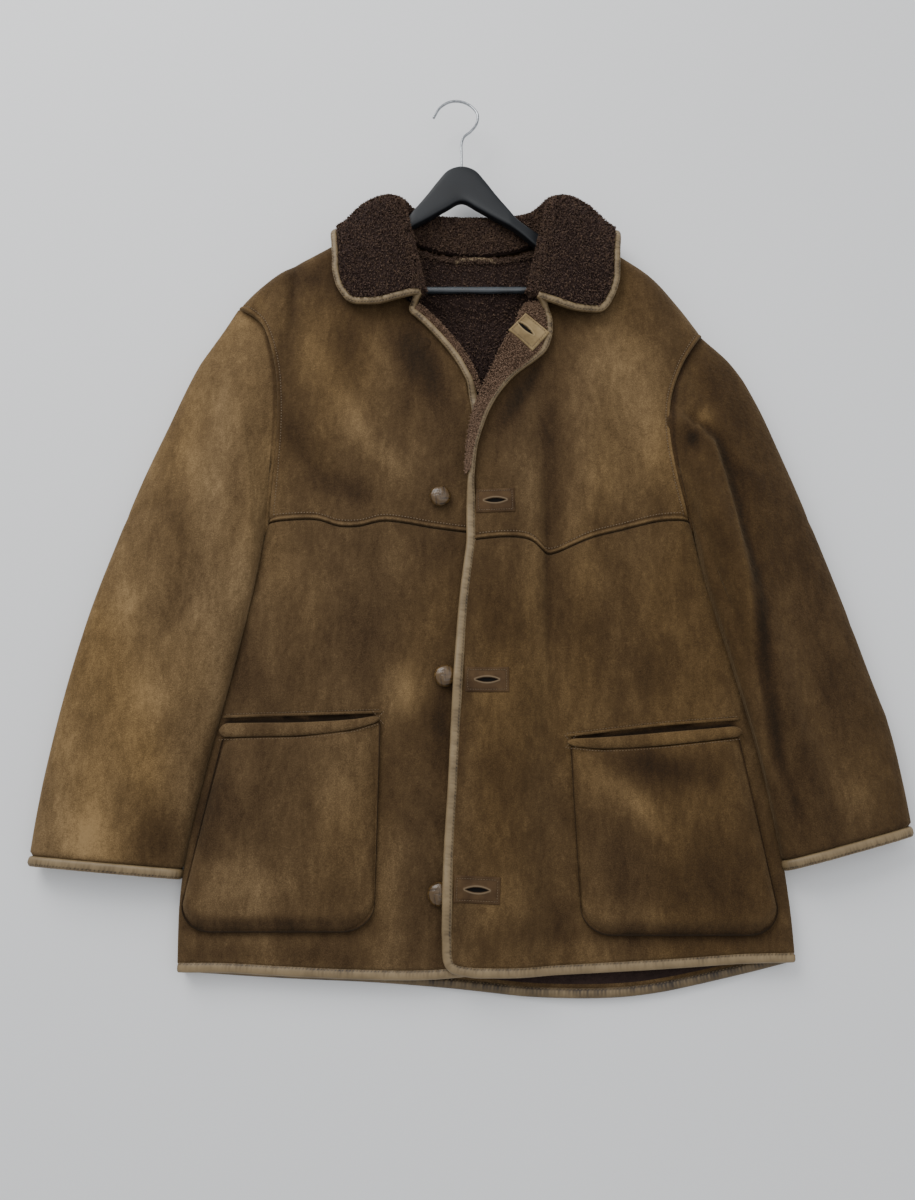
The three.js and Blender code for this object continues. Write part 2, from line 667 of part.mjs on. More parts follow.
const SLEEVE_STATIONS = [0, 0.015, 0.06, 0.13, 0.22, 0.32, 0.42, 0.52, 0.62, 0.72, 0.82, 0.91, 1];
const CUFF_POINTS = 24;
for (const side of ['right', 'left']) {
  const flip = side === 'left';
  const surface = sleeveSurface(side);
  const skin = (u, v) => surface(u, v * beforeCuff(side, u, BINDING_WIDTH - 0.5));
  add(`sleeve_${side}`, tube(skin, 20, SLEEVE_STATIONS, SLEEVE_SKIN, flip), SUEDE);
  const points = [];
  const normals = [];
  for (let i = 0; i < CUFF_POINTS; i++) {
    const u = i / CUFF_POINTS;
    const at = (du, distance) => surface(u + du, beforeCuff(side, u, distance));
    const normal = at(0, 4).sub(at(0, 7)).cross(at(0.004, 5).sub(at(-0.004, 5))).normalize();
    points.push(at(0, HALF_BINDING));
    normals.push(flip ? normal.negate() : normal);
  }
  add(`binding_cuff_${side}`,
    strip(stripRows(points, normals, true), HALF_BINDING - 0.5, BINDING_THICK / 2, STRIP_SIDES, true),
    LEATHER);
}

// Collar, one piece from leaf to leaf

const COLUMNS = ['seam', 'stand', 'top', 'turn', 'fall', 'edge'];
const collarRows = [
  ...COLLAR.map((row) => COLUMNS.map((name) => row[name])),
  ...COLLAR.slice(0, -1).reverse().map((row, k) => COLUMNS.map((name, column) => {
    const [x, y, z] = row[name];
    const share = (k / (COLLAR.length - 2)) ** 2;
    return [2 * COLLAR_MIDDLE - x, y - LEFT_LEAF_DROP[column] * share, z];
  })),
];
const collarLines = COLUMNS.map((_, column) => line(collarRows.map((row) => row[column])));

function collarSurface(u, v) {
  const points = collarLines.map((run) => run(v));
  const curve = new THREE.CatmullRomCurve3(points, false, 'centripetal');
  return curve.getPoint(THREE.MathUtils.clamp(u, 0, 1));
}

const COLLAR_EDGE = 0.94;    // where the skin ends and the binding begins, across
const COLLAR_END = 0.019;    // and at each leaf's end
const COLLAR_STEPS = 28;
const COLLAR_BINDING = { halfWidth: 4.4, halfThick: 3.9 };
const collarUs = [0, 0.15, 0.3, 0.4, 0.5, 0.6, 0.7, 0.82, COLLAR_EDGE];
const collarVs = [];
for (let i = 0; i <= COLLAR_STEPS; i++) {
  collarVs.push(THREE.MathUtils.lerp(COLLAR_END, 1 - COLLAR_END, i / COLLAR_STEPS));
}
add('collar', wall(collarSurface, collarUs, collarVs, COLLAR_SKIN, { edge: 0.7 }), FLEECE);

// The binding runs down one leaf's end, along the outer edge and up the other leaf's end
const LEAF_END_STEPS = [0.42, 0.5, 0.6, 0.7, 0.8, 0.9];
const LEAF_END = 0.0078;
const OUTER_EDGE = { across: 0.975, from: 0.012, steps: 34 };
const collarPath = LEAF_END_STEPS.map((u) => [u, LEAF_END]);
for (let i = 0; i <= OUTER_EDGE.steps; i++) {
  const v = THREE.MathUtils.lerp(OUTER_EDGE.from, 1 - OUTER_EDGE.from, i / OUTER_EDGE.steps);
  collarPath.push([OUTER_EDGE.across, v]);
}
for (const u of [...LEAF_END_STEPS].reverse()) collarPath.push([u, 1 - LEAF_END]);
const collarBindingRows = stripRows(
  collarPath.map(([u, v]) => collarSurface(u, v)),
  collarPath.map(([u, v]) => normalAt(collarSurface, u, v)),
);
add('binding_collar', strip(collarBindingRows, COLLAR_BINDING.halfWidth, COLLAR_BINDING.halfThick,
  STRIP_SIDES), LEATHER);

// Bindings of the fronts and the hems

function bindingOn(name, points, height) {
  const path = points.filter((p, i) => i === 0 || p.distanceTo(points[i - 1]) > 4);
  for (const point of path) point.z = height(point);
  const rows = stripRows(path, path.map(() => UP));
  add(name, strip(rows, HALF_BINDING - 0.5, BINDING_THICK / 2, STRIP_SIDES), LEATHER);
}

bindingOn('binding_back_hem', edgeRun(HEM.back, 0, 1, 18, HALF_BINDING),
  (p) => Math.max(backHeight(p.x, p.y), BINDING_THICK / 2));

// Heights between which the strip passes from the turned edge down to the front edge, y
const LAPEL_END = { right: [270, 246], left: [150, 116] };
const LAPEL_RUN = 0.9;
const EDGE_START = { right: 0.72, left: 0.86 };
for (const side of ['right', 'left']) {
  const inward = side === 'right' ? -HALF_BINDING : HALF_BINDING;
  const points = [
    ...edgeRun(LAPEL[side].edge, 0, LAPEL_RUN, 10, -inward),
    ...edgeRun(FRONT_UPPER[side], EDGE_START[side], 1, 4, inward),
    ...edgeRun(FRONT_LOWER[side], 0.06, 0.985, 15, inward),
    ...edgeRun(HEM[side], 0.025, 1, 17, inward),
  ];
  if (side === 'left') points.forEach(roundFrontCorner);
  bindingOn(`binding_front_${side}`, points, (p) => {
    const onLapel = smooth(p.y, LAPEL_END[side][1], LAPEL_END[side][0]);
    return frontHeight(side, p.x, p.y) + LAPEL_LIFT * onLapel;
  });
}

// Pockets on the lower panels, each with a bound mouth above it

function onPanel(side, x, y, lift) {
  return frontHeight(side, x, y) + SKIN / 2 + lift;
}

for (const side of ['right', 'left']) {
  const { left, right, mouth, bottom } = POCKET[side];
  const width = right[0] - left[0];
  const pocketAt = (u, v) => {
    const x = THREE.MathUtils.lerp(
      THREE.MathUtils.lerp(left[0], left[1], v), THREE.MathUtils.lerp(right[0], right[1], v), u);
    const drop = Math.max(0, 1 - (Math.min(u, 1 - u) * width) / POCKET_CORNER);
    const low = bottom + POCKET_CORNER * (1 - Math.sqrt(Math.max(0, 1 - drop * drop)));
    const high = THREE.MathUtils.lerp(mouth[0], mouth[1], u);
    const y = THREE.MathUtils.lerp(high, low, v);
    return new THREE.Vector3(x, y, onPanel(side, x, y, POCKET_SKIN / 2 + POCKET_SEAT + 0.1));
  };
  const us = [0, 0.04, 0.1, 0.2, 0.35, 0.5, 0.65, 0.8, 0.9, 0.96, 1];
  const vs = [0, 0.03, 0.2, 0.4, 0.6, 0.8, 0.92, 1];
  add(`pocket_${side}`, wall(pocketAt, us, vs, POCKET_SKIN, { edge: 0.5 }), SUEDE);
  const rows = [];
  for (const u of us) {
    const below = pocketAt(u, 0);
    const point = below.clone();
    point.y += WELT_HEIGHT / 2 + SEAM_GAP;
    point.z = onPanel(side, point.x, point.y, WELT_HALF_THICK + POCKET_SEAT);
    rows.push(point);
  }
  const weltRows = stripRows(rows, rows.map(() => UP));
  add(`pocket_welt_${side}`, strip(weltRows, WELT_HEIGHT / 2, WELT_HALF_THICK, 8), SUEDE);
}

// Buttons on the right front

const buttonProfile = [[0, 0], [0.72, 0], [0.98, 0.3], [1, 0.48], [0.86, 0.74], [0.55, 0.93], [0, 1]]
  .map(([r, h]) => new THREE.Vector2(r * BUTTON_RADIUS, h * BUTTON_HEIGHT));
for (const [i, [x, y]] of BUTTONS.entries()) {
  const geometry = new THREE.LatheGeometry(buttonProfile, 14);
  geometry.rotateX(Math.PI / 2);
  const button = add(`button_${i + 1}`, geometry, BUTTON_LEATHER);
  button.position.set(x, y, onPanel('right', x, y, 1));
}

// Buttonhole patches: a thin plate on the panel round a pointed slot

function slotPlate(cx, cy, turn, width, height, surfaceAt) {
  const count = 16;
  const angle = THREE.MathUtils.degToRad(turn);
  const shares = [0, 0.5, 1];
  const rings = [];
  for (const share of shares) {
    for (let i = 0; i < count; i++) {
      const a = (2 * Math.PI * i) / count;
      const boxed = 1 / Math.max(Math.abs(Math.cos(a)), Math.abs(Math.sin(a)));
      const reach = Math.min(boxed, CORNER_REACH);
      const ox = (width / 2) * Math.cos(a) * reach;
      const oy = (height / 2) * Math.sin(a) * reach;
      const ix = (SLOT_LENGTH / 2) * Math.cos(a);
      const iy = (SLOT_HEIGHT / 2) * Math.sin(a);
      const lx = THREE.MathUtils.lerp(ix, ox, share);
      const ly = THREE.MathUtils.lerp(iy, oy, share);
      const x = cx + lx * Math.cos(angle) - ly * Math.sin(angle);
      const y = cy + lx * Math.sin(angle) + ly * Math.cos(angle);
      rings.push([x, y, surfaceAt(x, y)]);
    }
  }
  const upper = rings.map(([x, y, z]) => [x, y, z + PATCH_THICK]);
  const positions = [...upper, ...rings].flat();
  const size = rings.length;
  const index = [];
  const quad = (a, b, c, d) => index.push(a, b, c, a, c, d);
  for (let ring = 0; ring < shares.length - 1; ring++) {
    for (let i = 0; i < count; i++) {
      const a = ring * count + i;
      const b = ring * count + ((i + 1) % count);
      quad(a, a + count, b + count, b);
      quad(size + a, size + b, size + b + count, size + a + count);
    }
  }
  for (let i = 0; i < count; i++) {
    const b = (i + 1) % count;
    const outerA = (shares.length - 1) * count + i;
    const outerB = (shares.length - 1) * count + b;
    quad(i, b, size + b, size + i);
    quad(outerB, outerA, size + outerA, size + outerB);
  }
  return solid(positions, index);
}

for (const [name, x, y, turn, width, height] of PATCHES) {
  add(name, slotPlate(x, y, turn, width, height, (px, py) => onPanel('left', px, py, PATCH_SEAT)),
    LEATHER);
}
add('buttonhole_patch_1', slotPlate(LAPEL_PATCH.x, LAPEL_PATCH.y, LAPEL_PATCH.turn, LAPEL_PATCH.width,
  LAPEL_PATCH.height,
  (px, py) => frontHeight('left', px, py) + LAPEL_LIFT + COLLAR_SKIN / 2 + 0.8), LEATHER);

// Hanging loop on the neck seam inside

const LOOP = { halfWidth: 2.6, halfThick: 1.1 };
const loopPoints = [[-8, 424], [0, 427], [16, 428], [32, 427], [40, 424]]
  .map(([x, y]) => new THREE.Vector3(x, y, backHeight(x, y) + SKIN / 2 + 1.6));
const loopRows = stripRows(loopPoints, loopPoints.map(() => UP));
add('hang_loop', strip(loopRows, LOOP.halfWidth, LOOP.halfThick, STRIP_SIDES), LEATHER);

// Hanger: a moulded body with its trouser bar, and a wire hook

const rightHalf = [...HANGER_UPPER, ...HANGER_LOWER];
const leftHalf = rightHalf.slice(1, -1).reverse().map(([x, y]) => [-x, y]);
const outline = new THREE.Shape([...rightHalf, ...leftHalf].map(([x, y]) => new THREE.Vector2(x, y)));
const bodyGeometry = new THREE.ExtrudeGeometry(outline, {
  depth: HANGER_DEPTH - 2 * HANGER_BEVEL,
  bevelEnabled: true,
  bevelThickness: HANGER_BEVEL,
  bevelSize: 2,
  bevelOffset: -2,
  bevelSegments: 2,
});
bodyGeometry.translate(0, 0, HANGER_BEVEL - HANGER_DEPTH / 2);
const bar = new THREE.CylinderGeometry(BAR_RADIUS, BAR_RADIUS, BAR_LENGTH, 12);
bar.rotateZ(Math.PI / 2);
bar.translate(0, BAR_Y, 0);
const place = bodyGeometry.attributes.position;
for (let i = 0; i < place.count; i++) {
  place.setZ(i, place.getZ(i) + valueAt(HANGER_Z, Math.abs(place.getX(i))));
}
bar.translate(0, 0, valueAt(HANGER_Z, 190));
add('hanger', fromManifold(toManifold(bodyGeometry).add(toManifold(bar))), CHARCOAL);

const hookZ = HANGER_Z[0][1];
const hookCurve = new THREE.CatmullRomCurve3(
  HOOK.map(([x, y]) => new THREE.Vector3(x, y + HOOK_SEAT, hookZ)), false, 'centripetal');
const wire = new THREE.Shape();
wire.absarc(0, 0, WIRE_RADIUS, 0, 2 * Math.PI, false);
const hookGeometry = new THREE.ExtrudeGeometry(wire, {
  steps: 26, curveSegments: 3, extrudePath: hookCurve,
});
add('hanger_hook', hookGeometry, CHROME);

// The origin is on the floor under the middle of everything

const bounds = new THREE.Box3().setFromObject(coat, true);
const middle = bounds.getCenter(new THREE.Vector3());
coat.position.set(-middle.x, -middle.y, -bounds.min.z);

export default coat;
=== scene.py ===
import math
import bpy
import numpy as np
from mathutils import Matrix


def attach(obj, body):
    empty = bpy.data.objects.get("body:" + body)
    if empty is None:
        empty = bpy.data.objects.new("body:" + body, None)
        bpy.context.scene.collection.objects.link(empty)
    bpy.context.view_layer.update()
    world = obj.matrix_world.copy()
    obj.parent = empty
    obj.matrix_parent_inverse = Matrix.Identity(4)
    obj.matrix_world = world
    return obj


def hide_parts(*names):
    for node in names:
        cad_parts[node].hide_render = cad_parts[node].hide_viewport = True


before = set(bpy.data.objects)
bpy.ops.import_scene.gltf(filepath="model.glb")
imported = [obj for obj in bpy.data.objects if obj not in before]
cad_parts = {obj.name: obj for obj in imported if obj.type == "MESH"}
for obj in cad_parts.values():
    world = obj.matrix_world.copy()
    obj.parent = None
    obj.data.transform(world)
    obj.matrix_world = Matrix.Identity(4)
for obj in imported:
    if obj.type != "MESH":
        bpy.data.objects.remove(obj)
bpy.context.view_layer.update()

# The back of the coat: one sheepskin with its suede outside and its clipped wool inside. It lies
# flat on the floor and is raised at the neck, where the fall of the collar is tucked beneath it.
# All tables are millimetres in the plan of the coat, x to the wearer's left and y to the collar.

PLAN_SHIFT = np.array([-9.4348, -133.6842, 0.0])    # from the plan to the frame of the part
SKIN = 8.0                                           # suede and clipped wool together
SKIN_EDGE = 4.0                                      # a cut edge is rounded over this distance
SEAM_GAP = 0.6               # from a piece to the line of its seam
BINDING_WIDTH = 11.0         # of the leather strip, folded over an edge
BOUND_INSET = 8.4            # the skins run this far inside their bound edges, under the binding
COLLAR_RAISE = 9.2           # how far the back is lifted by the fall of the collar
COLLAR_MIDDLE = 16.0         # x of the middle of the neck

SIGN = {"right": 1, "left": -1}      # the wearer's sides: the left one is laid out in mirror
SHOULDER = {
    "right": [(-72, 475), (-110, 456), (-146, 434), (-203, 402), (-230, 380), (-250, 357)],
    "left": [(104, 471), (140, 448), (173, 425), (213, 397), (243, 360), (267, 324)],
}
ARMHOLE = {
    "right": [(-250, 357), (-222, 334), (-207, 292), (-201, 234), (-202, 168), (-205, 106)],
    "left": [(267, 324), (243, 286), (229, 246), (226, 205), (232, 155), (241, 108)],
}
SIDE = {
    "right": [(-205, 106), (-217, 37), (-235, -60), (-253, -145), (-267, -220), (-272, -275), (-270, -343)],
    "left": [(241, 108), (252, 50), (276, -45), (297, -140), (310, -225), (315, -285), (316, -334)],
}
BACK_NECK = [(-72, 475), (-58, 446), (-24, 433), (16, 430), (60, 432), (90, 444), (104, 471)]
BACK_HEM = [(-270, -343), (-171, -349), (-81, -353), (-2, -359), (71, -366), (163, -365), (256, -348),
            (316, -334)]


def cubic(a, b, c, d, ka, kb, kc, s):
    """The piece of a centripetal Catmull-Rom spline from b to c, at s from 0 to 1."""
    start = ((b - a) / ka - (c - a) / (ka + kb) + (c - b) / kb) * kb
    finish = ((c - b) / kb - (d - b) / (kb + kc) + (d - c) / kc) * kb
    return (b * (2 * s**3 - 3 * s**2 + 1) + start * (s**3 - 2 * s**2 + s)
            + c * (3 * s**2 - 2 * s**3) + finish * (s**3 - s**2))


def reach_of(p):
    """The length of a path up to each of its points."""
    return np.r_[0, np.cumsum(np.linalg.norm(np.diff(p, axis=0), axis=1))]


def unit(p):
    """Vectors at length 1."""
    return p / np.maximum(np.linalg.norm(p, axis=-1, keepdims=True), 1e-9)


def seam(*tables):
    """A smooth line through the points of its tables, read by the share of its length: between two
    points runs a cubic, here as 24 short steps."""
    p = np.array([row for table in tables for row in table], float)
    if p.shape[1] == 2:
        p = np.column_stack([p, np.zeros(len(p))])
    p = p[np.r_[True, np.linalg.norm(np.diff(p, axis=0), axis=1) > 0.01]]
    ends = np.vstack([2 * p[0] - p[1], p, 2 * p[-1] - p[-2]])
    knot = np.sqrt(np.linalg.norm(np.diff(ends, axis=0), axis=1))[:, None]
    s = np.linspace(0, 1, 24, endpoint=False)[:, None, None]
    fine = cubic(ends[:-3], ends[1:-2], ends[2:-1], ends[3:], knot[:-2], knot[1:-1], knot[2:], s)
    fine = np.vstack([fine.transpose(1, 0, 2).reshape(-1, 3), p[-1]])
    reach = reach_of(fine)
    share = reach / reach[-1]

    def at(t):
        t = np.clip(t, 0, 1)
        return np.stack([np.interp(t, share, fine[:, k]) for k in range(3)], axis=-1)
    at.length = reach[-1]
    return at


def sided(side, outer, inner):
    """Two values for the left and right edge of a piece: at the side of the coat and at its middle."""
    return (outer, inner) if side == "right" else (inner, outer)


def smooth(x, low, high):
    """The smooth step from 0 at low to 1 at high."""
    t = np.clip((x - low) / (high - low), 0, 1)
    return t * t * (3 - 2 * t)


def dome(x, centre, width):
    """A Gaussian of height 1 round a centre."""
    return np.exp(-((x - centre) / width) ** 2)


def patch(top, bottom, left, right, height, insets, warp=None):
    """The surface between four seam lines: the sum of the two ruled surfaces less the one of their
    four corners, each side drawn in by its inset in millimetres, at a height of its own."""
    def surface(u, v):
        u, v = np.broadcast_arrays(np.asarray(u, float), np.asarray(v, float))
        width = np.linalg.norm(left(v) - right(v), axis=-1)
        depth = np.linalg.norm(top(u) - bottom(u), axis=-1)
        read = [side(t) if callable(side) else side for side, t in zip(insets, (v, v, u, u))]
        a = read[0] / width * (1 - u) + (1 - read[1] / width) * u
        b = read[2] / depth * (1 - v) + (1 - read[3] / depth) * v
        a1, b1 = a[..., None], b[..., None]
        p = top(a) * (1 - b1) + bottom(a) * b1 + left(b) * (1 - a1) + right(b) * a1
        p = p - top(0.0) * (1 - a1) * (1 - b1) - top(1.0) * a1 * (1 - b1)
        p = p - bottom(0.0) * (1 - a1) * b1 - bottom(1.0) * a1 * b1
        if warp:
            p = warp(p)
        p[..., 2] = height(p[..., 0], p[..., 1])
        return p
    return surface


def normals_of(p, closed=False):
    """Unit normals of a grid of points: the cross product of its differences down and along."""
    if closed:
        along = np.roll(p, -1, axis=1) - np.roll(p, 1, axis=1)
    else:
        along = np.gradient(p, axis=1)
    return unit(np.cross(np.gradient(p, axis=0), along))


def spread(count, closer=0.0):
    """Stations from 0 to 1, set closer towards both ends by a sine."""
    t = np.linspace(0, 1, count)
    return t - closer * np.sin(2 * np.pi * t) / (2 * np.pi)


def side_distances(p):
    """How far each point of a grid lies from its left, right, top and bottom edge."""
    across = np.linalg.norm(np.diff(p, axis=1), axis=-1)
    across = np.concatenate([np.zeros((p.shape[0], 1)), np.cumsum(across, axis=1)], axis=1)
    down = np.linalg.norm(np.diff(p, axis=0), axis=-1)
    down = np.concatenate([np.zeros((1, p.shape[1])), np.cumsum(down, axis=0)], axis=0)
    return across, across[:, -1:] - across, down, down[-1:] - down


def grid_faces(rows, columns, start=0, closed=False):
    """Quads of a grid of points that is stored row by row, up where it runs right and down."""
    j, i = np.meshgrid(np.arange(rows - 1), np.arange(columns if closed else columns - 1), indexing="ij")
    a = start + j * columns + i
    b = start + j * columns + (i + 1) % columns
    return np.stack([a, a + columns, b + columns, b], axis=-1).reshape(-1, 4)


def wall_faces(rows, columns):
    """Quads of a wall between two such grids, the upper one stored first: its upper side, its lower
    side and its border."""
    size = rows * columns
    index = np.arange(size).reshape(rows, columns)
    loop = np.concatenate([index[0, :-1], index[:-1, -1], index[-1, :0:-1], index[:0:-1, 0]])
    after = np.roll(loop, -1)
    return (grid_faces(rows, columns), grid_faces(rows, columns, size)[:, ::-1],
            np.stack([loop, after, after + size, loop + size], axis=-1))


def make_piece(name, points, faces, looks, face_looks=None, attributes=None):
    """A mesh from points in plan millimetres and a list of faces, smooth shaded, as an object of
    the part that rides on its one body."""
    points = np.reshape(points, (-1, 3))
    points = np.maximum(points, [-1e6, -1e6, 0.0])           # nothing reaches below the floor
    mesh = bpy.data.meshes.new(name)
    mesh.from_pydata(((points + PLAN_SHIFT) / 1000).tolist(), [], [list(f) for f in faces])
    for look in looks:
        mesh.materials.append(look)
    if face_looks is not None:
        mesh.polygons.foreach_set("material_index", np.asarray(face_looks, np.int32))
    mesh.polygons.foreach_set("use_smooth", np.ones(len(mesh.polygons), bool))
    for key, values in (attributes or {}).items():
        layer = mesh.attributes.new(key, "FLOAT", "POINT")
        layer.data.foreach_set("value", np.asarray(values, np.float32).ravel())
    mesh.update()
    piece = bpy.data.objects.new(name, mesh)
    bpy.context.scene.collection.objects.link(piece)
    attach(piece, "root")
    return piece


def shell(name, p, thick, looks, relief=0.0, wear_light_and_shade=0.0, edges=(SKIN_EDGE,) * 4, inner_edges=None,
          edge_look=0, rim=0.12):
    """A wall of skin on a grid of points: its faces lie half the thickness to either side along the
    normal, and each half thickness falls off as a quarter circle over its own distance from each of
    the left, right, top and bottom edges. The rounded edges have one look of the two."""
    n = normals_of(p)
    far = side_distances(p)

    def half(reach):
        near = np.minimum.reduce([d / r for d, r in zip(far, reach)])
        return (thick / 2 * np.maximum(rim, np.sqrt(1 - (1 - np.clip(near, 0, 1)) ** 2)))[..., None]

    outer = p + n * (half(edges) + np.asarray(relief)[..., None])
    inner = p - n * half(inner_edges or edges)
    faces = wall_faces(*p.shape[:2])
    near = np.minimum.reduce([d / SKIN_EDGE for d in far])
    corners = np.minimum.reduce([near[:-1, :-1], near[1:, :-1], near[:-1, 1:], near[1:, 1:]]).ravel()
    which = np.r_[np.where(corners < 1, edge_look, 0), np.where(corners < 1, edge_look, 1),
                  np.full(len(faces[2]), edge_look)]
    points = np.stack([outer, inner])
    # Each point carries its tone of wear, painted shade and painted highlight, which the suede reads.
    tones = np.broadcast_to(wear_light_and_shade, p.shape[:2])
    return make_piece(name, points, np.concatenate(faces), looks, which, {"wear_light_and_shade": np.stack([tones, tones])})


def linear(code):
    """An sRGB hex colour as linear light."""
    value = np.array([int(code[i:i + 2], 16) for i in (1, 3, 5)]) / 255
    value = np.where(value <= 0.04045, value / 12.92, ((value + 0.055) / 1.055) ** 2.4)
    return (*value.tolist(), 1.0)


def add_node(material, kind, values=(), **settings):
    """Adds a shader node with its settings, and its inputs as numbers, colours or linked outputs."""
    made = material.node_tree.nodes.new(kind)
    for key, value in settings.items():
        setattr(made, key, value)
    for key, value in dict(values).items():
        if isinstance(value, bpy.types.NodeSocket):
            material.node_tree.links.new(value, made.inputs[key])
        else:
            made.inputs[key].default_value = value
    return made


def new_material(name):
    """An empty node material, and the place on the piece where its textures are read."""
    material = bpy.data.materials.new(name)
    material.use_nodes = True
    material.node_tree.nodes.clear()
    return material, add_node(material, "ShaderNodeTexCoord").outputs["Object"]


def carried(material, name):
    """A value that the points of the mesh carry."""
    return add_node(material, "ShaderNodeAttribute", attribute_name=name).outputs["Fac"]


def noise(material, place, scale, detail=2.0, roughness=0.5, distortion=0.0):
    """Cloudy noise from 0 to 1, its scale in clouds to a metre."""
    values = {"Vector": place, "Scale": scale, "Detail": detail, "Roughness": roughness,
              "Distortion": distortion}
    return add_node(material, "ShaderNodeTexNoise", values).outputs["Fac"]


def cells(material, place, scale, **settings):
    """Distance to the nearest of many random points, their number to a metre given by the scale."""
    made = add_node(material, "ShaderNodeTexVoronoi", {"Vector": place, "Scale": scale}, **settings)
    return made.outputs["Distance"]


def plus(material, value, share, rest):
    """value * share + rest."""
    return add_node(material, "ShaderNodeMath", {0: value, 1: share, 2: rest},
                    operation="MULTIPLY_ADD").outputs[0]


def between(material, value, low, high, **values):
    """The value from 0 to 1 as a number from low to high."""
    values = {"Value": value, "To Min": low, "To Max": high, **values}
    return add_node(material, "ShaderNodeMapRange", values).outputs[0]


def ramp(material, value, stops):
    """The colour at the value between stops, each a position and a hex colour."""
    made = add_node(material, "ShaderNodeValToRGB", {"Fac": value})
    elements = made.color_ramp.elements
    while len(elements) < len(stops):
        elements.new(0.5)
    for element, (position, code) in zip(elements, stops):
        element.position = position
        element.color = linear(code)
    return made.outputs[0]


def mixed(material, share, first, code, **settings):
    """One colour turned into a hex colour by a share."""
    return add_node(material, "ShaderNodeMix", {0: share, 6: first, 7: linear(code)}, data_type="RGBA",
                    **settings).outputs[2]


def bump(material, height, strength, distance, below=(), **settings):
    """The normal bent by a height, a distance in metres, over the bumps below it."""
    values = {"Height": height, "Strength": strength, "Distance": distance, **dict(below)}
    return add_node(material, "ShaderNodeBump", values, **settings).outputs[0]


def shaded(material, colour, roughness, **values):
    """Ends a material with its shader, whose other inputs are written with _ for a space."""
    values = {key.replace("_", " "): value for key, value in values.items()}
    shader = add_node(material, "ShaderNodeBsdfPrincipled",
                      {"Base Color": colour, "Roughness": roughness, **values})
    add_node(material, "ShaderNodeOutputMaterial", {"Surface": shader.outputs[0]})
    return material


# Sueded sheepskin, the flesh side buffed to a short nap. It is matt with a faint glow of the nap,
# brushed into soft lengthwise streaks, and lighter or darker by a tone that each piece carries:
# handling marks, and painted shade and painted highlights where folds, hollows and ridges take the
# light. The nap is about 0.3 mm, drawn as grain of about 1 mm so that it shows.
suede, place = new_material("buffed sheepskin suede")
brushed = add_node(suede, "ShaderNodeMapping", {"Vector": place, "Scale": (1.0, 0.42, 1.0)}).outputs[0]
marks = noise(suede, brushed, 55.0, 4.0, 0.6, 0.4)
nap = noise(suede, place, 950.0, 3.0, 0.8)
tone = plus(suede, noise(suede, brushed, 13.0, 5.0, 0.55, 0.6), 0.7, -0.64)
tone = plus(suede, marks, 0.38, tone)
tone = plus(suede, nap, 0.85, tone)
tone = plus(suede, noise(suede, brushed, 190.0, 3.0, 0.6), 0.3, tone)
# The tone each piece carries: handling marks together with painted shade and painted highlights.
tone = plus(suede, carried(suede, "wear_light_and_shade"), 0.5, tone)
colour = ramp(suede, tone, [(0.0, "#1c1208"), (0.25, "#362615"), (0.5, "#4e3c26"), (0.75, "#6e593d"),
                            (1.0, "#957c59")])
olive = between(suede, noise(suede, brushed, 6.0), 0.0, 0.5, **{"From Min": 0.38, "From Max": 0.66})
colour = mixed(suede, olive, colour, "#8f8256", blend_type="SOFT_LIGHT")
normal = bump(suede, nap, 0.35, 0.0006)
normal = bump(suede, cells(suede, place, 300.0, feature="SMOOTH_F1"), 0.6, 0.0011, {"Normal": normal})
normal = bump(suede, marks, 0.5, 0.002, {"Normal": normal})
shaded(suede, colour, 0.92, Normal=normal, IOR=1.45, Specular_IOR_Level=0.2, Sheen_Weight=0.22,
       Sheen_Roughness=0.55, Sheen_Tint=linear("#c8ad84"))


# The wool side of the same skin, clipped short and dyed dark brown. It is matt, darker at the root
# than at the tip, and gathered in curls of about 3 mm.
def wool_material(name, stops, lift):
    """Wool whose colour goes along the stops by its tip, its own shade, its locks and its fibres."""
    material, place = new_material(name)
    tone = plus(material, carried(material, "tip"), 0.4, lift)
    tone = plus(material, carried(material, "shade"), 0.22, tone)
    tone = plus(material, noise(material, place, 110.0, 3.0, 0.6), 0.4, tone)
    tone = plus(material, noise(material, place, 900.0, 3.0, 0.7), 0.25, tone)
    normal = bump(material, cells(material, place, 330.0), 0.5, 0.0015, invert=True)
    return shaded(material, ramp(material, tone, stops), 0.9, Normal=normal, IOR=1.5,
                  Specular_IOR_Level=0.15, Sheen_Weight=0.25, Sheen_Roughness=0.5,
                  Sheen_Tint=linear("#b59a86"))


wool = wool_material("clipped sheepskin wool", [(0.0, "#120c0b"), (0.35, "#281d1a"), (0.65, "#3d2e29"),
                                                (1.0, "#65503f")], 0.06)


def collar_zone(x, y):
    """1 over the fall of the collar and 0 away from it."""
    reach = np.hypot((x - COLLAR_MIDDLE) / 150, (y - 445) / 60)
    return 1 - smooth(reach, 1, 1.5)


def back_height(x, y):
    """Height of the middle of the back's wall over the floor."""
    return SKIN / 2 + COLLAR_RAISE * collar_zone(x, y)


# Seen from the floor side it is suede, inside it is wool: the grid runs right and down the coat.
back_surface = patch(seam(SHOULDER["right"][::-1], BACK_NECK, SHOULDER["left"]), seam(BACK_HEM),
                     seam(ARMHOLE["right"], SIDE["right"]), seam(ARMHOLE["left"], SIDE["left"]),
                     back_height, (SEAM_GAP, SEAM_GAP, SEAM_GAP, BOUND_INSET))
back_points = back_surface(*np.meshgrid(spread(84, 0.8), spread(104, 0.8)))
back = shell("back_skin", back_points, SKIN, [wool, suede], edges=(0.8, 0.8, 0.8, SKIN_EDGE),
             inner_edges=(SKIN_EDGE,) * 4, edge_look=1)
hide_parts("back")

# The fronts: on each side an upper yoke and a lower panel of sheepskin, suede side up, with the
# yoke lapped over the panel below it and stitched down. The left front lies on the right one and
# rides up over the buttons beneath it.

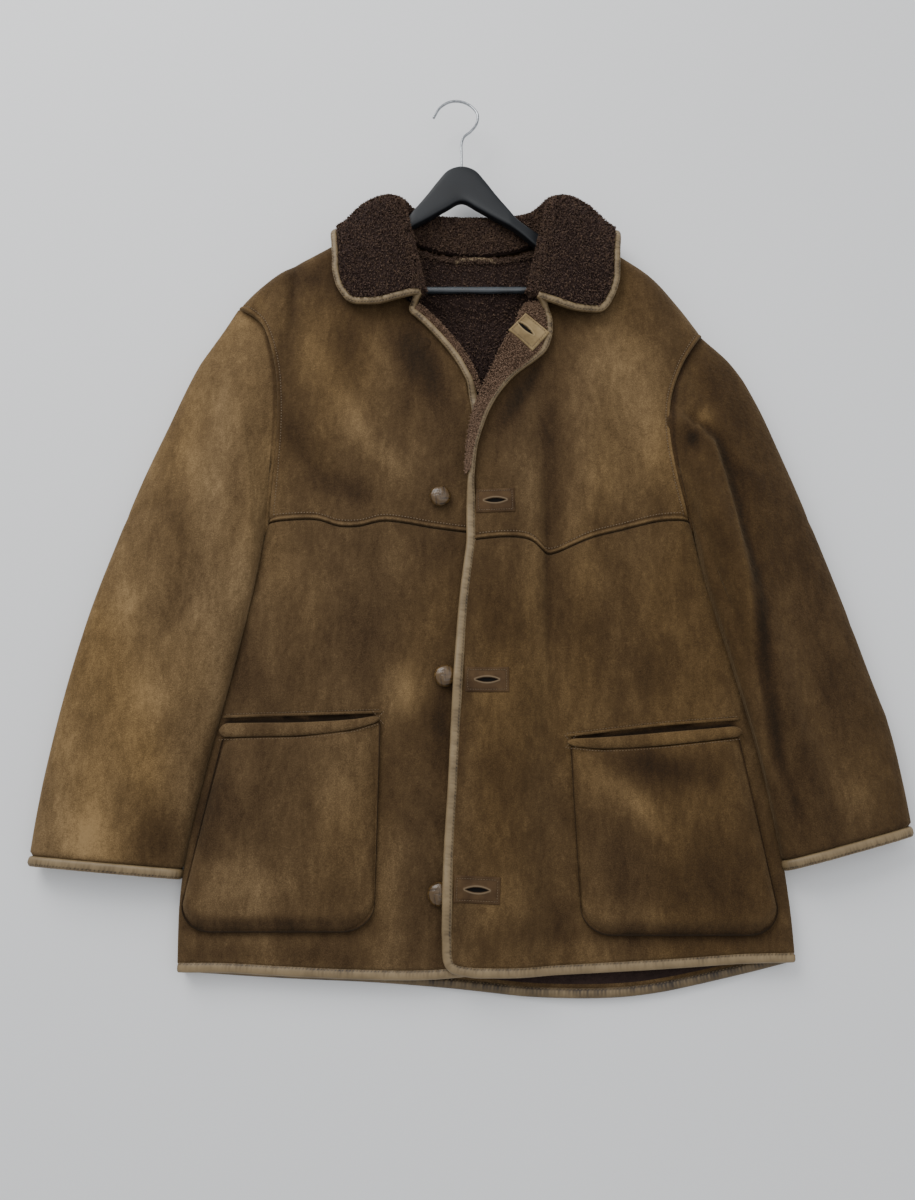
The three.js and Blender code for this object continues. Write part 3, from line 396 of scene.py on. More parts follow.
YOKE_LAP = -0.8                     # the yoke reaches this far over its seam line
BINDING_THICK = 8.4                 # through the folded leather and the skin in it
YOKE = {
    "right": [(32, 92), (0, 95), (-33, 100), (-60, 105), (-84, 107), (-109, 101), (-130, 101), (-154, 108),
              (-205, 106)],
    "left": [(4, 82), (46, 86), (72, 84), (88, 72), (102, 73), (137, 87), (166, 95), (208, 106),
             (241, 108)],
}
FRONT_UPPER = {
    "right": [(-72, 475), (-84, 440), (-78, 398), (-60, 364), (-34, 349), (-14, 318), (2, 287), (14, 260),
              (24, 210), (30, 150), (32, 92)],
    "left": [(104, 471), (116, 438), (110, 398), (92, 360), (64, 340), (44, 303), (30, 270), (17, 238),
             (8, 206), (4, 169), (4, 130), (4, 82)],
}
FRONT_LOWER = {
    "right": [(32, 92), (34, -40), (34, -200), (32, -343)],
    "left": [(4, 82), (-4, 15), (-10, -70), (-15, -171), (-19, -239), (-20, -293), (-20, -345)],
}
HEM = {
    "right": [(32, -343), (-24, -349), (-97, -349), (-171, -346), (-227, -343), (-270, -343)],
    "left": [(-20, -345), (35, -347), (112, -344), (202, -339), (269, -335), (316, -334)],
}
FRONT_CORNER = (-20, -346, 28)      # x, y and radius of the rounded corner of the left front
OVERLAP_LIFT = 9.6                  # how far the left front rises over the right one
BUTTON_LIFT = 11.0                  # and over a button
RIM_SINK = 1.8                      # the rim of a front lies this far below a whole skin on the back
ROLLED = 17.0                       # a front curves down to its rim over this width
BUTTONS = [(-45, 306), (-23, 132), (-17, -60), (-22, -271)]
LEVEL = np.array([(-400, 15), (-340, 15.5), (-100, 18.5), (90, 23), (250, 28.5), (330, 33), (400, 38.5),
                  (440, 42.5), (500, 42.5)])

# Soft folds and troughs: x, y, half length, half width, turn in degrees from +y, height
FOLDS = {
    "right": [(-189, 372, 45, 6, 2, -3.5), (-204, 345, 60, 14, 4, 4), (-83, 190, 62, 15, -52, 5),
              (-148, 161, 50, 17, -52, -5), (-60, 40, 90, 40, 12, -3), (-150, -20, 80, 34, -12, 3),
              (-60, -220, 110, 26, 3, 3), (-210, -170, 120, 24, 10, 2.5)],
    "left": [(212, 345, 60, 20, -24, 4), (98, 110, 150, 12, 2, -5), (132, 160, 150, 24, 4, 6),
             (176, 20, 120, 30, -12, 4), (62, -60, 120, 24, 6, 3), (200, -230, 100, 34, 5, 5),
             (80, 330, 70, 22, -20, 2), (89, 62, 130, 6, 0, -2.4)],
}


# What each front is cut from: width, length and area of the skin, in metres
FRONT_CUTS = {
    "front_right_yoke": (0.29, 0.40, 0.0760), "front_left_yoke": (0.30, 0.42, 0.0790),
    "front_right_lower": (0.31, 0.46, 0.1170), "front_left_lower": (0.34, 0.46, 0.1270),
}


def to_polyline(table, x, y):
    """Distance in plan from points to the nearest piece of a polyline."""
    best = np.full(np.shape(x), 1e9)
    for (ax, ay), (bx, by) in zip(table[:-1], table[1:]):
        t = ((x - ax) * (bx - ax) + (y - ay) * (by - ay)) / ((bx - ax) ** 2 + (by - ay) ** 2)
        t = np.clip(t, 0, 1)
        best = np.minimum(best, np.hypot(x - ax - t * (bx - ax), y - ay - t * (by - ay)))
    return best


def blots(table, x, y):
    """Sum of oval bumps: each height falls off as a Gaussian of its own half length and width."""
    total = np.zeros(np.shape(x))
    for cx, cy, length, width, turn, height in table:
        angle = math.radians(turn)
        along = (x - cx) * math.sin(angle) + (y - cy) * math.cos(angle)
        across = (x - cx) * math.cos(angle) - (y - cy) * math.sin(angle)
        total += height * np.exp(-(along / length) ** 2 - (across / width) ** 2)
    return total


EDGE_LINES = {side: [seam(table[side])(np.linspace(0, 1, 33))[:, :2] for table in (SHOULDER, SIDE)]
              for side in ("right", "left")}


def front_height(side, x, y):
    """Height of the middle of a front's wall: a level that rises to the neck, with folds, lifted at
    the overlap and over the buttons, and rolled down to the rim at the shoulder and side seams."""
    height = np.interp(y, LEVEL[:, 0], LEVEL[:, 1]) + blots(FOLDS[side], x, y)
    if side == "left":
        height = height + OVERLAP_LIFT * (1 - smooth(x, 48, 90)) * (1 - smooth(y, 300, 360))
        for bx, by in BUTTONS[1:]:
            height = height + BUTTON_LIFT * np.exp(-((x - bx) / 20) ** 2 - ((y - by) / 30) ** 2)
    rim = SKIN * 1.5 - RIM_SINK + COLLAR_RAISE * collar_zone(x, y)
    near = np.minimum.reduce([to_polyline(line, x, y) for line in EDGE_LINES[side]])
    near = np.minimum(1, near / ROLLED)
    rise = (1 - (1 - near) ** 2.2) ** (1 / 2.2)
    return rim + (np.maximum(height, rim) - rim) * rise


def round_corner(p):
    """Draws the square at the lower front corner in to a quarter circle and leaves its two inner
    sides where they are."""
    cx, cy, radius = FRONT_CORNER
    x = np.clip((cx + radius - p[..., 0]) / radius, 0, None)
    y = np.clip((cy + radius - p[..., 1]) / radius, 0, None)
    inside = (x > 0) & (y > 0)
    moved = p.copy()
    moved[..., 0] += np.where(inside, (x - x * np.sqrt(np.clip(1 - y * y / 2, 0, 1))) * radius, 0)
    moved[..., 1] += np.where(inside, (y - y * np.sqrt(np.clip(1 - x * x / 2, 0, 1))) * radius, 0)
    return moved


def upper_inset(bare_to):
    """The plain seam gap along the neck, growing to the width of the binding below it."""
    return lambda v: SEAM_GAP + (BOUND_INSET - SEAM_GAP) * smooth(v, bare_to, bare_to + 0.06)


front_surfaces = {
    "front_right_yoke": patch(seam(SHOULDER["right"][::-1]), seam(YOKE["right"][::-1]),
                              seam(ARMHOLE["right"]), seam(FRONT_UPPER["right"]),
                              lambda x, y: front_height("right", x, y),
                              (0.0, upper_inset(0.552), SEAM_GAP, YOKE_LAP)),
    "front_left_yoke": patch(seam(SHOULDER["left"]), seam(YOKE["left"]), seam(FRONT_UPPER["left"]),
                             seam(ARMHOLE["left"]), lambda x, y: front_height("left", x, y),
                             (upper_inset(0.765), 0.0, SEAM_GAP, YOKE_LAP)),
    "front_right_lower": patch(seam(YOKE["right"][::-1]), seam(HEM["right"][::-1]), seam(SIDE["right"]),
                               seam(FRONT_LOWER["right"]), lambda x, y: front_height("right", x, y),
                               (SEAM_GAP, BOUND_INSET, 0.2, BOUND_INSET)),
    "front_left_lower": patch(seam(YOKE["left"]), seam(HEM["left"]), seam(FRONT_LOWER["left"]),
                              seam(SIDE["left"]), lambda x, y: front_height("left", x, y),
                              (BOUND_INSET, SEAM_GAP, 0.2, BOUND_INSET), round_corner),
}

# Where the suede is lighter or darker: handling marks and stains, and also painted shade in folds,
# hollows and beside raised edges, and painted highlights on the shoulders and ridges.
# Columns: x, y, half length, half width, turn, strength
WEAR_LIGHT_AND_SHADE = [
    (89, 62, 125, 4.5, 0, -0.35), (72, 60, 90, 9, 0, 0.18), (-50, 300, 42, 22, -20, -0.6),
    (68, 255, 48, 9, 29, -0.5), (-188, 368, 48, 7, 2, -0.5), (-158, 388, 14, 28, 0, -0.4),
    (-165, 325, 56, 28, 5, 0.4), (-202, 394, 22, 14, 30, -0.35), (-125, 317, 45, 15, 5, -0.35),
    (-89, 311, 50, 14, 0, 0.2), (-33, 262, 60, 20, -20, -0.45), (-117, 222, 46, 13, -32, 0.36),
    (-72, 170, 44, 12, -52, 0.4), (-178, 202, 42, 17, -30, -0.5), (-131, 147, 34, 15, -66, -0.65),
    (-200, 132, 20, 20, 0, 0.15), (-218, 214, 60, 18, 0, -0.1), (-70, 60, 40, 18, 0, 0.25),
    (-58, -73, 28, 22, 0, 0.55), (-17, 76, 25, 12, 0, -0.4), (-24, -99, 45, 14, 0, -0.5),
    (-234, -63, 45, 14, 12, -0.35), (-136, -21, 40, 30, 0, -0.1), (-120, -183, 60, 26, 10, 0.3),
    (-209, -263, 24, 50, 0, 0.35), (-252, -197, 50, 22, 15, -0.4), (-188, -299, 9, 95, 0, -0.6),
    (-70, -258, 60, 18, 0, 0.2), (-210, -326, 8, 90, 0, -0.2), (59, 250, 55, 14, 30, -0.5),
    (63, 167, 40, 12, 5, 0.25), (98, 155, 130, 10, 0, -0.45), (176, 274, 70, 45, -10, 0.5),
    (215, 190, 50, 24, -10, 0.45), (149, 155, 30, 24, 0, 0.2), (244, -42, 80, 30, -12, 0.15),
    (132, -5, 35, 26, 0, -0.3), (187, -47, 26, 22, 0, -0.35), (90, -37, 26, 18, 0, 0.2),
    (30, -73, 20, 20, 0, 0.3), (40, 43, 60, 20, 0, -0.1), (197, -151, 18, 50, 10, -0.65),
    (165, -183, 50, 15, -45, 0.5), (220, -258, 40, 40, 0, -0.35), (153, -240, 40, 26, 0, -0.25),
    (269, -183, 40, 16, -12, 0.15), (198, -307, 9, 110, 0, -0.45), (36, -277, 22, 28, 0, 0.25),
    (93, -295, 24, 24, 0, -0.35),
]

# The mouths of the pockets, cut in the lower fronts: the upper lip and the top and bottom of the
# padded roll below it, each from the wearer's right to left, columns x, y
MOUTH = {
    "right": {"lip": [(-241, -102), (-160, -99.5), (-81, -97)],
              "top": [(-241, -107.5), (-160, -106.5), (-110, -103.5), (-84, -99.5)],
              "bottom": [(-243, -122), (-160, -120), (-110, -114), (-82, -106)]},
    "left": {"lip": [(104, -121), (190, -111), (278, -104)],
             "top": [(106, -123), (140, -121.5), (200, -117), (278, -110)],
             "bottom": [(104, -130), (140, -133), (200, -130), (280, -121)]},
}


def mouth_gap(side, x, y):
    """1 in the open slit between the upper lip and the roll of a pocket mouth, 0 outside it."""
    lip, top = (np.array(MOUTH[side][k]) for k in ("lip", "top"))
    above = np.interp(x, lip[:, 0], lip[:, 1]) - y
    below = y - np.interp(x, top[:, 0], top[:, 1])
    ends = np.minimum(x - top[0, 0], top[-1, 0] - x)
    return smooth(above, -0.6, 1.4) * smooth(below, -5.0, -3.0) * smooth(ends, 0, 9)


LAP_RIDGE = 2.2          # from the edge of a yoke to the crest of its ridge
LAP_STITCH = 5.4         # and to the row of stitches that holds it


def lap(distance):
    """The lapped seam of a yoke: a rounded ridge 3 mm wide along its edge, then a stitched dip."""
    return 0.8 * dome(distance, LAP_RIDGE, 1.7) - 0.45 * dome(distance, LAP_STITCH, 1.1)


def inside_edge(surface, steps, which, distance, lift):
    """A path on a surface at a distance inside its left, right or bottom edge, raised by lift."""
    low = np.zeros(len(steps))
    u, v, du, dv = {"left": (low, steps, 1, 0), "right": (low + 1, steps, -1, 0),
                    "bottom": (steps, low + 1, 0, -1)}[which]
    speed = np.linalg.norm(surface(u + du * 0.01, v + dv * 0.01) - surface(u, v), axis=-1) / 0.01
    p = surface(u + du * distance / speed, v + dv * distance / speed)
    p[:, 2] += lift
    return p


front_stitches = []
for name, surface in front_surfaces.items():
    yoke = name.endswith("yoke")
    side = "right" if "right" in name else "left"
    grid = np.meshgrid(spread(96 if yoke else 104, 0.85), spread(110 if yoke else 162, 0.9))
    points = surface(*grid)
    left, right, top, bottom = side_distances(points)
    x, y = points[..., 0], points[..., 1]
    tone = blots(WEAR_LIGHT_AND_SHADE, x, y)
    if yoke:
        armhole = sided(side, left, right)[0]
        capped = smooth(y, 130, 230) * 0.75 if side == "right" else 0.75
        relief = lap(bottom) + lap(armhole) * capped
        # Painted highlight on the crest of each lapped ridge, painted shadow at the yoke's very edge, and
        # painted shade in the stitched dips.
        tone += 0.3 * dome(bottom, LAP_RIDGE, 1.6) - 0.5 * dome(bottom, 0, 0.8)
        tone += 0.15 * capped * dome(armhole, LAP_RIDGE, 1.6)
        tone -= 0.3 * dome(bottom, LAP_STITCH, 1.0) + 0.25 * capped * dome(armhole, LAP_STITCH, 1.0)
        edges = (*sided(side, 1.8, 4), 4, 1.4)
        inner_edges = (*edges[:2], 0.8, 1.4)
        steps = np.linspace(0.02, 0.98, 160)
        for which in ("bottom", sided(side, "left", "right")[0]):
            front_stitches.append(inside_edge(surface, steps, which, LAP_STITCH, SKIN / 2 - 0.2))
    else:
        gap = mouth_gap(side, x, y)
        relief = -0.5 * dome(top, 0, 2.2) - 2.4 * gap
        # Painted shadow along the top, where the panel runs under the yoke's edge, and painted shade in the
        # open slit of the pocket mouth.
        tone += -0.35 * dome(top, 0, 1.8) - 1.1 * gap
        edges = (4, 4, 3, 4)
        inner_edges = (*sided(side, 0.8, 4), 3, 4)
    piece = shell(name + "_skin", points, SKIN, [suede, wool], relief, tone, edges, inner_edges)
    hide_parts(name)
    width, length, area = FRONT_CUTS[name]

# The sleeves: each one a flattened tube of the same sheepskin, suede side out, with its seam under
# the arm. It is set in at the armhole with a plain seam and left open at the bound cuff.

SLEEVE_SKIN = 7.0
SLEEVE_GAP = {"right": 1.2, "left": -0.3}        # between sleeve and body at the armhole
SLEEVE = {
    "right": {
        "outer": [(-250, 357), (-289, 283), (-317, 210), (-339, 150), (-361, 80), (-381, 10), (-396, -60),
                  (-407, -130), (-414, -190), (-418, -246)],
        "inner": [(-211, 97), (-221, 30), (-239, -62), (-257, -146), (-270, -215), (-276, -258)],
        "top": [(0, 34), (0.12, 42), (0.35, 40), (0.6, 36), (0.85, 33), (1, 30)],
        "folds": [(0.3, 0.32, 0.2, 0.14, 4), (0.5, 0.72, 0.16, 0.16, 3), (0.66, 0.3, 0.12, 0.2, -3),
                  (0.82, 0.62, 0.12, 0.2, 3)],
    },
    "left": {
        "outer": [(267, 324), (296, 292), (320, 242), (340, 183), (362, 113), (388, 24), (410, -58),
                  (424, -110), (432, -165), (437, -218)],
        "inner": [(250, 98), (257, 45), (278, -45), (299, -138), (311, -220), (315, -250)],
        "top": [(0, 30), (0.12, 38), (0.35, 41), (0.6, 40), (0.85, 36), (1, 32)],
        "folds": [(0.22, 0.62, 0.34, 0.1, 6), (0.2, 0.84, 0.3, 0.07, -7), (0.6, 0.74, 0.3, 0.1, 5),
                  (0.5, 0.34, 0.2, 0.2, -2)],
    },
}
SLEEVE_BASE = {"right": 0.4, "left": -0.2}       # the right one is lighter overall, the left one darker
# Lighter and darker marks of the sleeves: handling marks, painted shade in the hollow at the left armhole
# and beside the body, and painted highlights on the fold: x, y, half length, half width, turn, strength
SLEEVE_WEAR_LIGHT_AND_SHADE = {
    "right": [
        (-364, -211, 26, 24, 0, 0.5), (-294, -225, 30, 20, 0, -0.9), (-306, -83, 20, 30, 0, 0.25),
        (-244, -124, 80, 10, 12, -0.5), (-286, 214, 70, 40, 30, 0.15), (-284, 32, 50, 20, 25, -0.25),
        (-393, -124, 60, 30, 10, 0.1), (-220, 311, 40, 16, 0, -0.2), (-344, 0, 30, 24, 20, 0.15)],
    "left": [
        (280, 262, 40, 22, -25, -0.3), (261, 221, 10, 16, -50, 0.5), (266, 110, 80, 8, -10, -0.2),
        (345, 65, 90, 26, -20, -0.15), (319, 0, 30, 14, 0, 0.2), (383, -173, 50, 30, -15, 0.3),
        (248, 195, 14, 8, -20, -0.8), (373, -73, 40, 20, -15, -0.15)],
}


def sleeve_surface(side):
    """A flattened tube: seen from above each point lies between the outer and the inner edge by a
    cosine round the sleeve, and its height is a rounded oval from the floor to the top line."""
    sign = SIGN[side]
    data = SLEEVE[side]
    outer, inner, armhole = seam(data["outer"]), seam(data["inner"]), seam(ARMHOLE[side])
    tip, underarm = armhole(0.0), armhole(1.0)
    top_table = np.array(data["top"])

    def surface(u, v):
        u, v = np.broadcast_arrays(np.asarray(u, float), np.asarray(v, float))
        angle = 2 * np.pi * u * sign
        c = 0.5 - 0.5 * np.cos(angle)
        c1, v1 = c[..., None], v[..., None]
        p = outer(v) * (1 - c1) + inner(v) * c1
        p = p + (armhole(c) - tip * (1 - c1) - underarm * c1) * (1 - v1) ** 1.6
        p[..., 0] -= sign * SLEEVE_GAP[side] * (1 - v) ** 8
        floor = SLEEVE_SKIN / 2
        top = np.interp(v, top_table[:, 0], top_table[:, 1])
        for fv, fc, length, width, height in data["folds"]:
            top = top + height * np.exp(-((v - fv) / length) ** 2 - ((c - fc) / width) ** 2)
        start = np.interp(p[..., 1], LEVEL[:, 0], LEVEL[:, 1])
        blend = np.clip(v / 0.12, 0, 1)
        top = start * (1 - blend) + top * blend
        middle = floor + 0.42 * (top - floor)
        rise = np.abs(np.sin(angle))
        p[..., 2] = np.where(np.sin(angle * sign) >= 0, middle + (top - middle) * rise ** 0.6,
                             middle - (middle - floor) * rise ** 0.45)
        return p
    return surface


def before_cuff(side, u, distance):
    """Share of the sleeve's length at a distance before the edge of the cuff."""
    lengths = [np.hypot(*np.diff(np.array(SLEEVE[side][k]), axis=0).T).sum() for k in ("outer", "inner")]
    c = 0.5 - 0.5 * np.cos(2 * np.pi * np.asarray(u, float))
    return 1 - distance / (lengths[0] * (1 - c) + lengths[1] * c)


# The front of the left sleeve is folded over on itself: the line of the fold, then its height and
# how sharply it drops, at the armhole and at the cuff. The seam of the sleeve follows it below.
SLEEVE_FOLD = [(240, 222), (256, 209), (268, 190), (276, 153), (283, 111), (290, 56), (294, 18), (298, -60),
               (304, -140), (318, -190), (331, -240)]

# Small creases of the sleeves: x, y, half length, half width, turn, height
CREASES = {
    "right": [(-262, 140, 26, 7, 60, -1.6), (-330, 115, 22, 6, 70, -1.5), (-285, 55, 30, 8, 55, 1.6),
              (-300, 40, 30, 6, 55, -1.3), (-345, 20, 24, 7, 62, 1.3), (-285, -45, 34, 9, 40, -1.6),
              (-330, -60, 26, 7, 70, 1.2), (-360, -105, 22, 6, 60, -1.3), (-310, -125, 34, 8, 35, 1.5),
              (-385, -165, 18, 7, 80, 1.2), (-330, -185, 26, 7, 50, -1.2), (-262, 250, 40, 7, 8, -1.6)],
    "left": [(262, 255, 40, 9, -20, -2.2), (300, 160, 40, 8, -30, 1.3), (345, 90, 26, 7, 50, -1.3),
             (335, 0, 30, 8, -50, 1.2), (375, -20, 22, 7, 60, -1.2), (400, -90, 24, 6, -60, 1.1),
             (350, -120, 34, 8, -35, -1.4), (385, -175, 24, 7, 60, 1.1)],
}
SLEEVE_CUTS = {"right": (0.46, 0.62, 0.218), "left": (0.42, 0.57, 0.178)}


def fold_side(x, y):
    """Signed distance across from the fold of the left sleeve, positive on the body's side."""
    line = np.array(SLEEVE_FOLD[::-1], float)
    return np.interp(y, line[:, 1], line[:, 0]) - x


for side in ("right", "left"):
    surface = sleeve_surface(side)
    sign = SIGN[side]
    around, along = 112, 164
    tuck = 6.0                           # how far its end is turned in under the armhole
    u, v = np.meshgrid(np.arange(around) / around, np.r_[-0.01, -0.005, np.linspace(0, 1, along - 2)])
    points = surface(u, np.maximum(v, 0) * before_cuff(side, u, BINDING_WIDTH - 0.5))
    under = np.clip(-v / 0.01, 0, 1)
    points[..., 0] += sign * tuck * under
    points[..., 2] += (18 - points[..., 2]) * 0.22 * under
    n = normals_of(points, closed=True) * sign
    distance = side_distances(points)[2]
    x, y = points[..., 0], points[..., 1]
    ends = (distance[-1:] - distance) / SKIN_EDGE
    half = SLEEVE_SKIN / 2 * np.maximum(0.15, np.sqrt(1 - (1 - np.clip(ends, 0, 1)) ** 2))
    relief = blots(CREASES[side], x, y) * (n[..., 2] > 0.2)
    # Painted shade where the sleeve's end is turned in under the armhole.
    tone = SLEEVE_BASE[side] + blots(SLEEVE_WEAR_LIGHT_AND_SHADE[side], x, y) - 0.45 * dome(distance, tuck, 3)
    if side == "left":
        across = fold_side(x, y)
        weight = smooth(n[..., 2], 0.1, 0.5) * smooth(y, -250, -120) * (1 - smooth(y, 212, 236))
        high = 2.8 + 5.0 * smooth(y, 60, 200)
        step = smooth(across, -3.2, 1.2) - 0.75 * smooth(across, 4, 34)
        relief += high * step * weight
        relief -= 0.5 * high * dome(across, -9, 8) * weight
        # Painted highlight on the crest of the fold and painted shade in the valley beside it.
        tone += weight * (0.22 * dome(across, 2, 2.5) - 0.6 * dome(across, -7, 6))
    outer = points + n * (half + relief)[..., None]
    inner = points - n * half[..., None]
    inner[..., 2] = np.maximum(inner[..., 2], 0.4)
    size = around * along
    upper = grid_faces(along, around, 0, True)
    lower = grid_faces(along, around, size, True)[:, ::-1]
    i = np.arange(around)
    k = (i + 1) % around
    last = size - around
    rims = np.concatenate([np.stack([i, k, k + size, i + size], -1),
                           np.stack([last + k, last + i, last + i + size, last + k + size], -1)])
    faces = np.concatenate([upper, lower, rims])
    if side == "left":
        faces = faces[:, ::-1]
    which = np.r_[np.zeros(len(upper), int), np.ones(len(lower) + len(rims), int)]
    sleeve = make_piece(f"sleeve_{side}_skin", np.stack([outer, inner]),
                        faces, [suede, wool], which, {"wear_light_and_shade": np.stack([tone, tone])})
    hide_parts(f"sleeve_{side}")
    width, length, area = SLEEVE_CUTS[side]

# The collar: one sheepskin from leaf to leaf, wool side up. It stands at the neck, turns over and
# falls, at the sides onto the fronts and at the back beneath the back panel.

COLLAR_SKIN = 7.0
COLLAR = [
    [(-54, 364, 41), (-47, 362, 43), (-42, 359, 50), (-51, 357, 57), (-88, 349, 53), (-122, 352, 48)],
    [(-69, 392, 42), (-60, 390, 45), (-49, 387, 53), (-58, 386, 60), (-100, 379, 56), (-142, 378, 49)],
    [(-78, 430, 46), (-69, 429, 48), (-58, 427, 55), (-68, 427, 62), (-106, 424, 58), (-146, 418, 52)],
    [(-75, 459, 44), (-71, 464, 47), (-67, 466, 53), (-78, 476, 57), (-110, 474, 47), (-150, 452, 32)],
    [(-69, 481, 27), (-68, 488, 30), (-71, 494, 33), (-87, 500, 22), (-114, 489, 6), (-143, 454, 4)],
    [(-55, 451, 17), (-51, 465, 20), (-46, 478, 22), (-54, 488, 12), (-66, 474, 4), (-88, 412, 4)],
    [(16, 434, 14.5), (16, 452, 18), (16, 471, 21), (16, 481, 12), (16, 471, 4), (16, 402, 4)],
]
LEFT_LEAF_DROP = np.array([0, 0, 2, 4, 8, 12])
collar_table = np.array(COLLAR, float)
left_leaf = collar_table[-2::-1].copy()
left_leaf[..., 0] = 2 * COLLAR_MIDDLE - left_leaf[..., 0]
left_leaf[..., 1] -= LEFT_LEAF_DROP * ((np.arange(len(left_leaf)) / (len(COLLAR) - 2)) ** 2)[:, None]
collar_table = np.concatenate([collar_table, left_leaf])
collar_lines = [seam(collar_table[:, k]) for k in range(collar_table.shape[1])]


def spline_rows(p, t):
    """Smooth lines through stacks of points p[:, k], read at t by even segments."""
    ends = np.concatenate([2 * p[:, :1] - p[:, 1:2], p, 2 * p[:, -1:] - p[:, -2:-1]], axis=1)
    knot = np.sqrt(np.linalg.norm(np.diff(ends, axis=1), axis=-1))
    count = p.shape[1] - 1
    t = np.clip(t, 0, 1) * count
    k = np.minimum(t.astype(int), count - 1)
    s = (t - k)[:, None]
    row = np.arange(len(p))
    near = [ends[row, k + i] for i in range(4)]
    return cubic(*near, *(knot[row, k + i][:, None] for i in range(3)), s)


def collar_surface(u, v):
    """Across the collar by u, from the neck seam over the turn to the outer edge, and along it by v."""
    u, v = np.broadcast_arrays(np.asarray(u, float), np.asarray(v, float))
    sections = np.stack([run(v.ravel()) for run in collar_lines], axis=1)
    return spline_rows(sections, u.ravel()).reshape(*u.shape, 3)


collar_points = collar_surface(*np.meshgrid(np.linspace(0, 0.955, 40), np.linspace(0.0125, 0.9875, 220)))
collar = shell("collar_skin", collar_points, COLLAR_SKIN, [wool, suede])
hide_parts("collar")


def pile(name, roots, up, length, width, lean, seed, look=wool):
    """Clipped wool as many small curled blades: each rises from its root along the normal, bent
    towards one side by a random amount, and narrows to its tip."""
    rng = np.random.default_rng(seed)
    count = len(roots)
    side = unit(np.cross(up, rng.normal(size=(count, 3))))
    bend = np.cross(side, up)
    long = length * rng.uniform(0.65, 1.25, (count, 1))
    wide = width * rng.uniform(0.7, 1.3, (count, 1)) / 2
    tilt = rng.uniform(0.15, 0.9, (count, 1))
    middle = roots + (up * 0.6 + bend * 0.35 * tilt + lean * 0.3) * long
    tip = roots + (up * 0.85 + bend * tilt + lean) * long
    points = np.stack([roots - side * wide, roots + side * wide, middle + side * wide * 0.8,
                       middle - side * wide * 0.8, tip], axis=1)
    base = np.arange(count)[:, None] * 5
    quads = (base + np.array([0, 1, 2, 3])).tolist()
    caps = (base + np.array([3, 2, 4])).tolist()
    attributes = {"tip": np.tile([0, 0, 0.6, 0.6, 1.0], count),
                  "shade": np.repeat(rng.uniform(0, 1, count) ** 1.6, 5)}
    return make_piece(name, points, quads + caps, [look], None, attributes)


def scattered(surface, u_range, v_range, counts, seed):
    """Random places on a surface, one in each cell of a jittered grid, with their normals."""
    rng = np.random.default_rng(seed)
    a, b = np.meshgrid(np.arange(counts[0]), np.arange(counts[1]))
    u = u_range[0] + (u_range[1] - u_range[0]) * (a + rng.uniform(0, 1, a.shape)) / counts[0]
    v = v_range[0] + (v_range[1] - v_range[0]) * (b + rng.uniform(0, 1, b.shape)) / counts[1]
    p = surface(u, v)
    du = surface(np.clip(u + 0.004, 0, 1), v) - surface(np.clip(u - 0.004, 0, 1), v)
    dv = surface(u, np.clip(v + 0.004, 0, 1)) - surface(u, np.clip(v - 0.004, 0, 1))
    n = unit(np.cross(dv, du))
    return p.reshape(-1, 3), n.reshape(-1, 3)


roots, up = scattered(collar_surface, (0.02, 0.955), (0.012, 0.988), (80, 520), 11)
shown = (roots[:, 2] > 12) | (up[:, 2] > 0.3)
collar_pile = pile("collar_wool_pile", roots[shown] + up[shown] * 2.7, up[shown], 4.0, 1.6,
                   np.array([0, 0, 0]), 12)

RIM_BLADES = 900          # along the end of each leaf
rng = np.random.default_rng(13)
for side, low in (("right", 0.0), ("left", 1.0)):
    inward = SIGN[side]
    u = rng.uniform(0.22, 0.62, RIM_BLADES)
    edge = collar_surface(u, low + inward * 0.017)
    out = unit(edge - collar_surface(u, low + inward * 0.03))
    tilt = rng.uniform(-1.1, 1.3, RIM_BLADES)[:, None]
    up = out * np.cos(tilt) + np.array([0, 0, 1]) * np.sin(tilt)
    rim_pile = pile(f"collar_wool_rim_{side}", edge + up * 1.5, up, 4.2, 1.5, np.array([0, -0.1, 0]), 14)

# The turned-back edges of the fronts, wool side up: a narrow roll of wool on the right and a lapel
# on the left, both of the same skin as the front they belong to.

LAPEL_LIFT = SKIN / 2 + BINDING_THICK / 2 + 0.8
LAPEL_EDGE = {
    "right": [(-56, 358), (-60, 347), (-45, 331), (-28, 312), (-11, 290), (1, 268), (10, 246)],
    "left": [(94, 356), (100, 345), (102, 322), (96, 300), (77, 280), (58, 263), (36, 233), (22, 197),
             (14, 160)],
}
LAPEL_FOLD = [(70, 353), (63, 340), (55, 322), (44, 302), (31, 272), (17, 240), (9, 212), (4, 175),
              (2.5, 148)]
ROLL_WIDTH = 7.2
ROLL_STATIONS = 140
ROLL_SIDES = 14
ROLL_BLADES = 2600
UP = np.array([0.0, 0.0, 1.0])


def ups(path):
    """The direction up, once for each point of a path."""
    return np.tile(UP, (len(path), 1))


def edge_run(table, low, high, count, inward):
    """Points along a seam line between two shares of its length, moved to the left of their
    direction by a distance in plan."""
    run = seam(table)
    t = np.linspace(low, high, count)
    along = unit(run(t + 0.004) - run(t - 0.004))
    p = run(t)
    p[:, 0] -= along[:, 1] * inward
    p[:, 1] += along[:, 0] * inward
    return p


def frame_along(path, up, closed=False):
    """Unit vectors across and up out of a strip that follows a path."""
    if closed:
        along = np.roll(path, -1, axis=0) - np.roll(path, 1, axis=0)
    else:
        along = np.gradient(path, axis=0)
    along = unit(along)
    across = unit(np.cross(along, up))
    return across, np.cross(across, along)


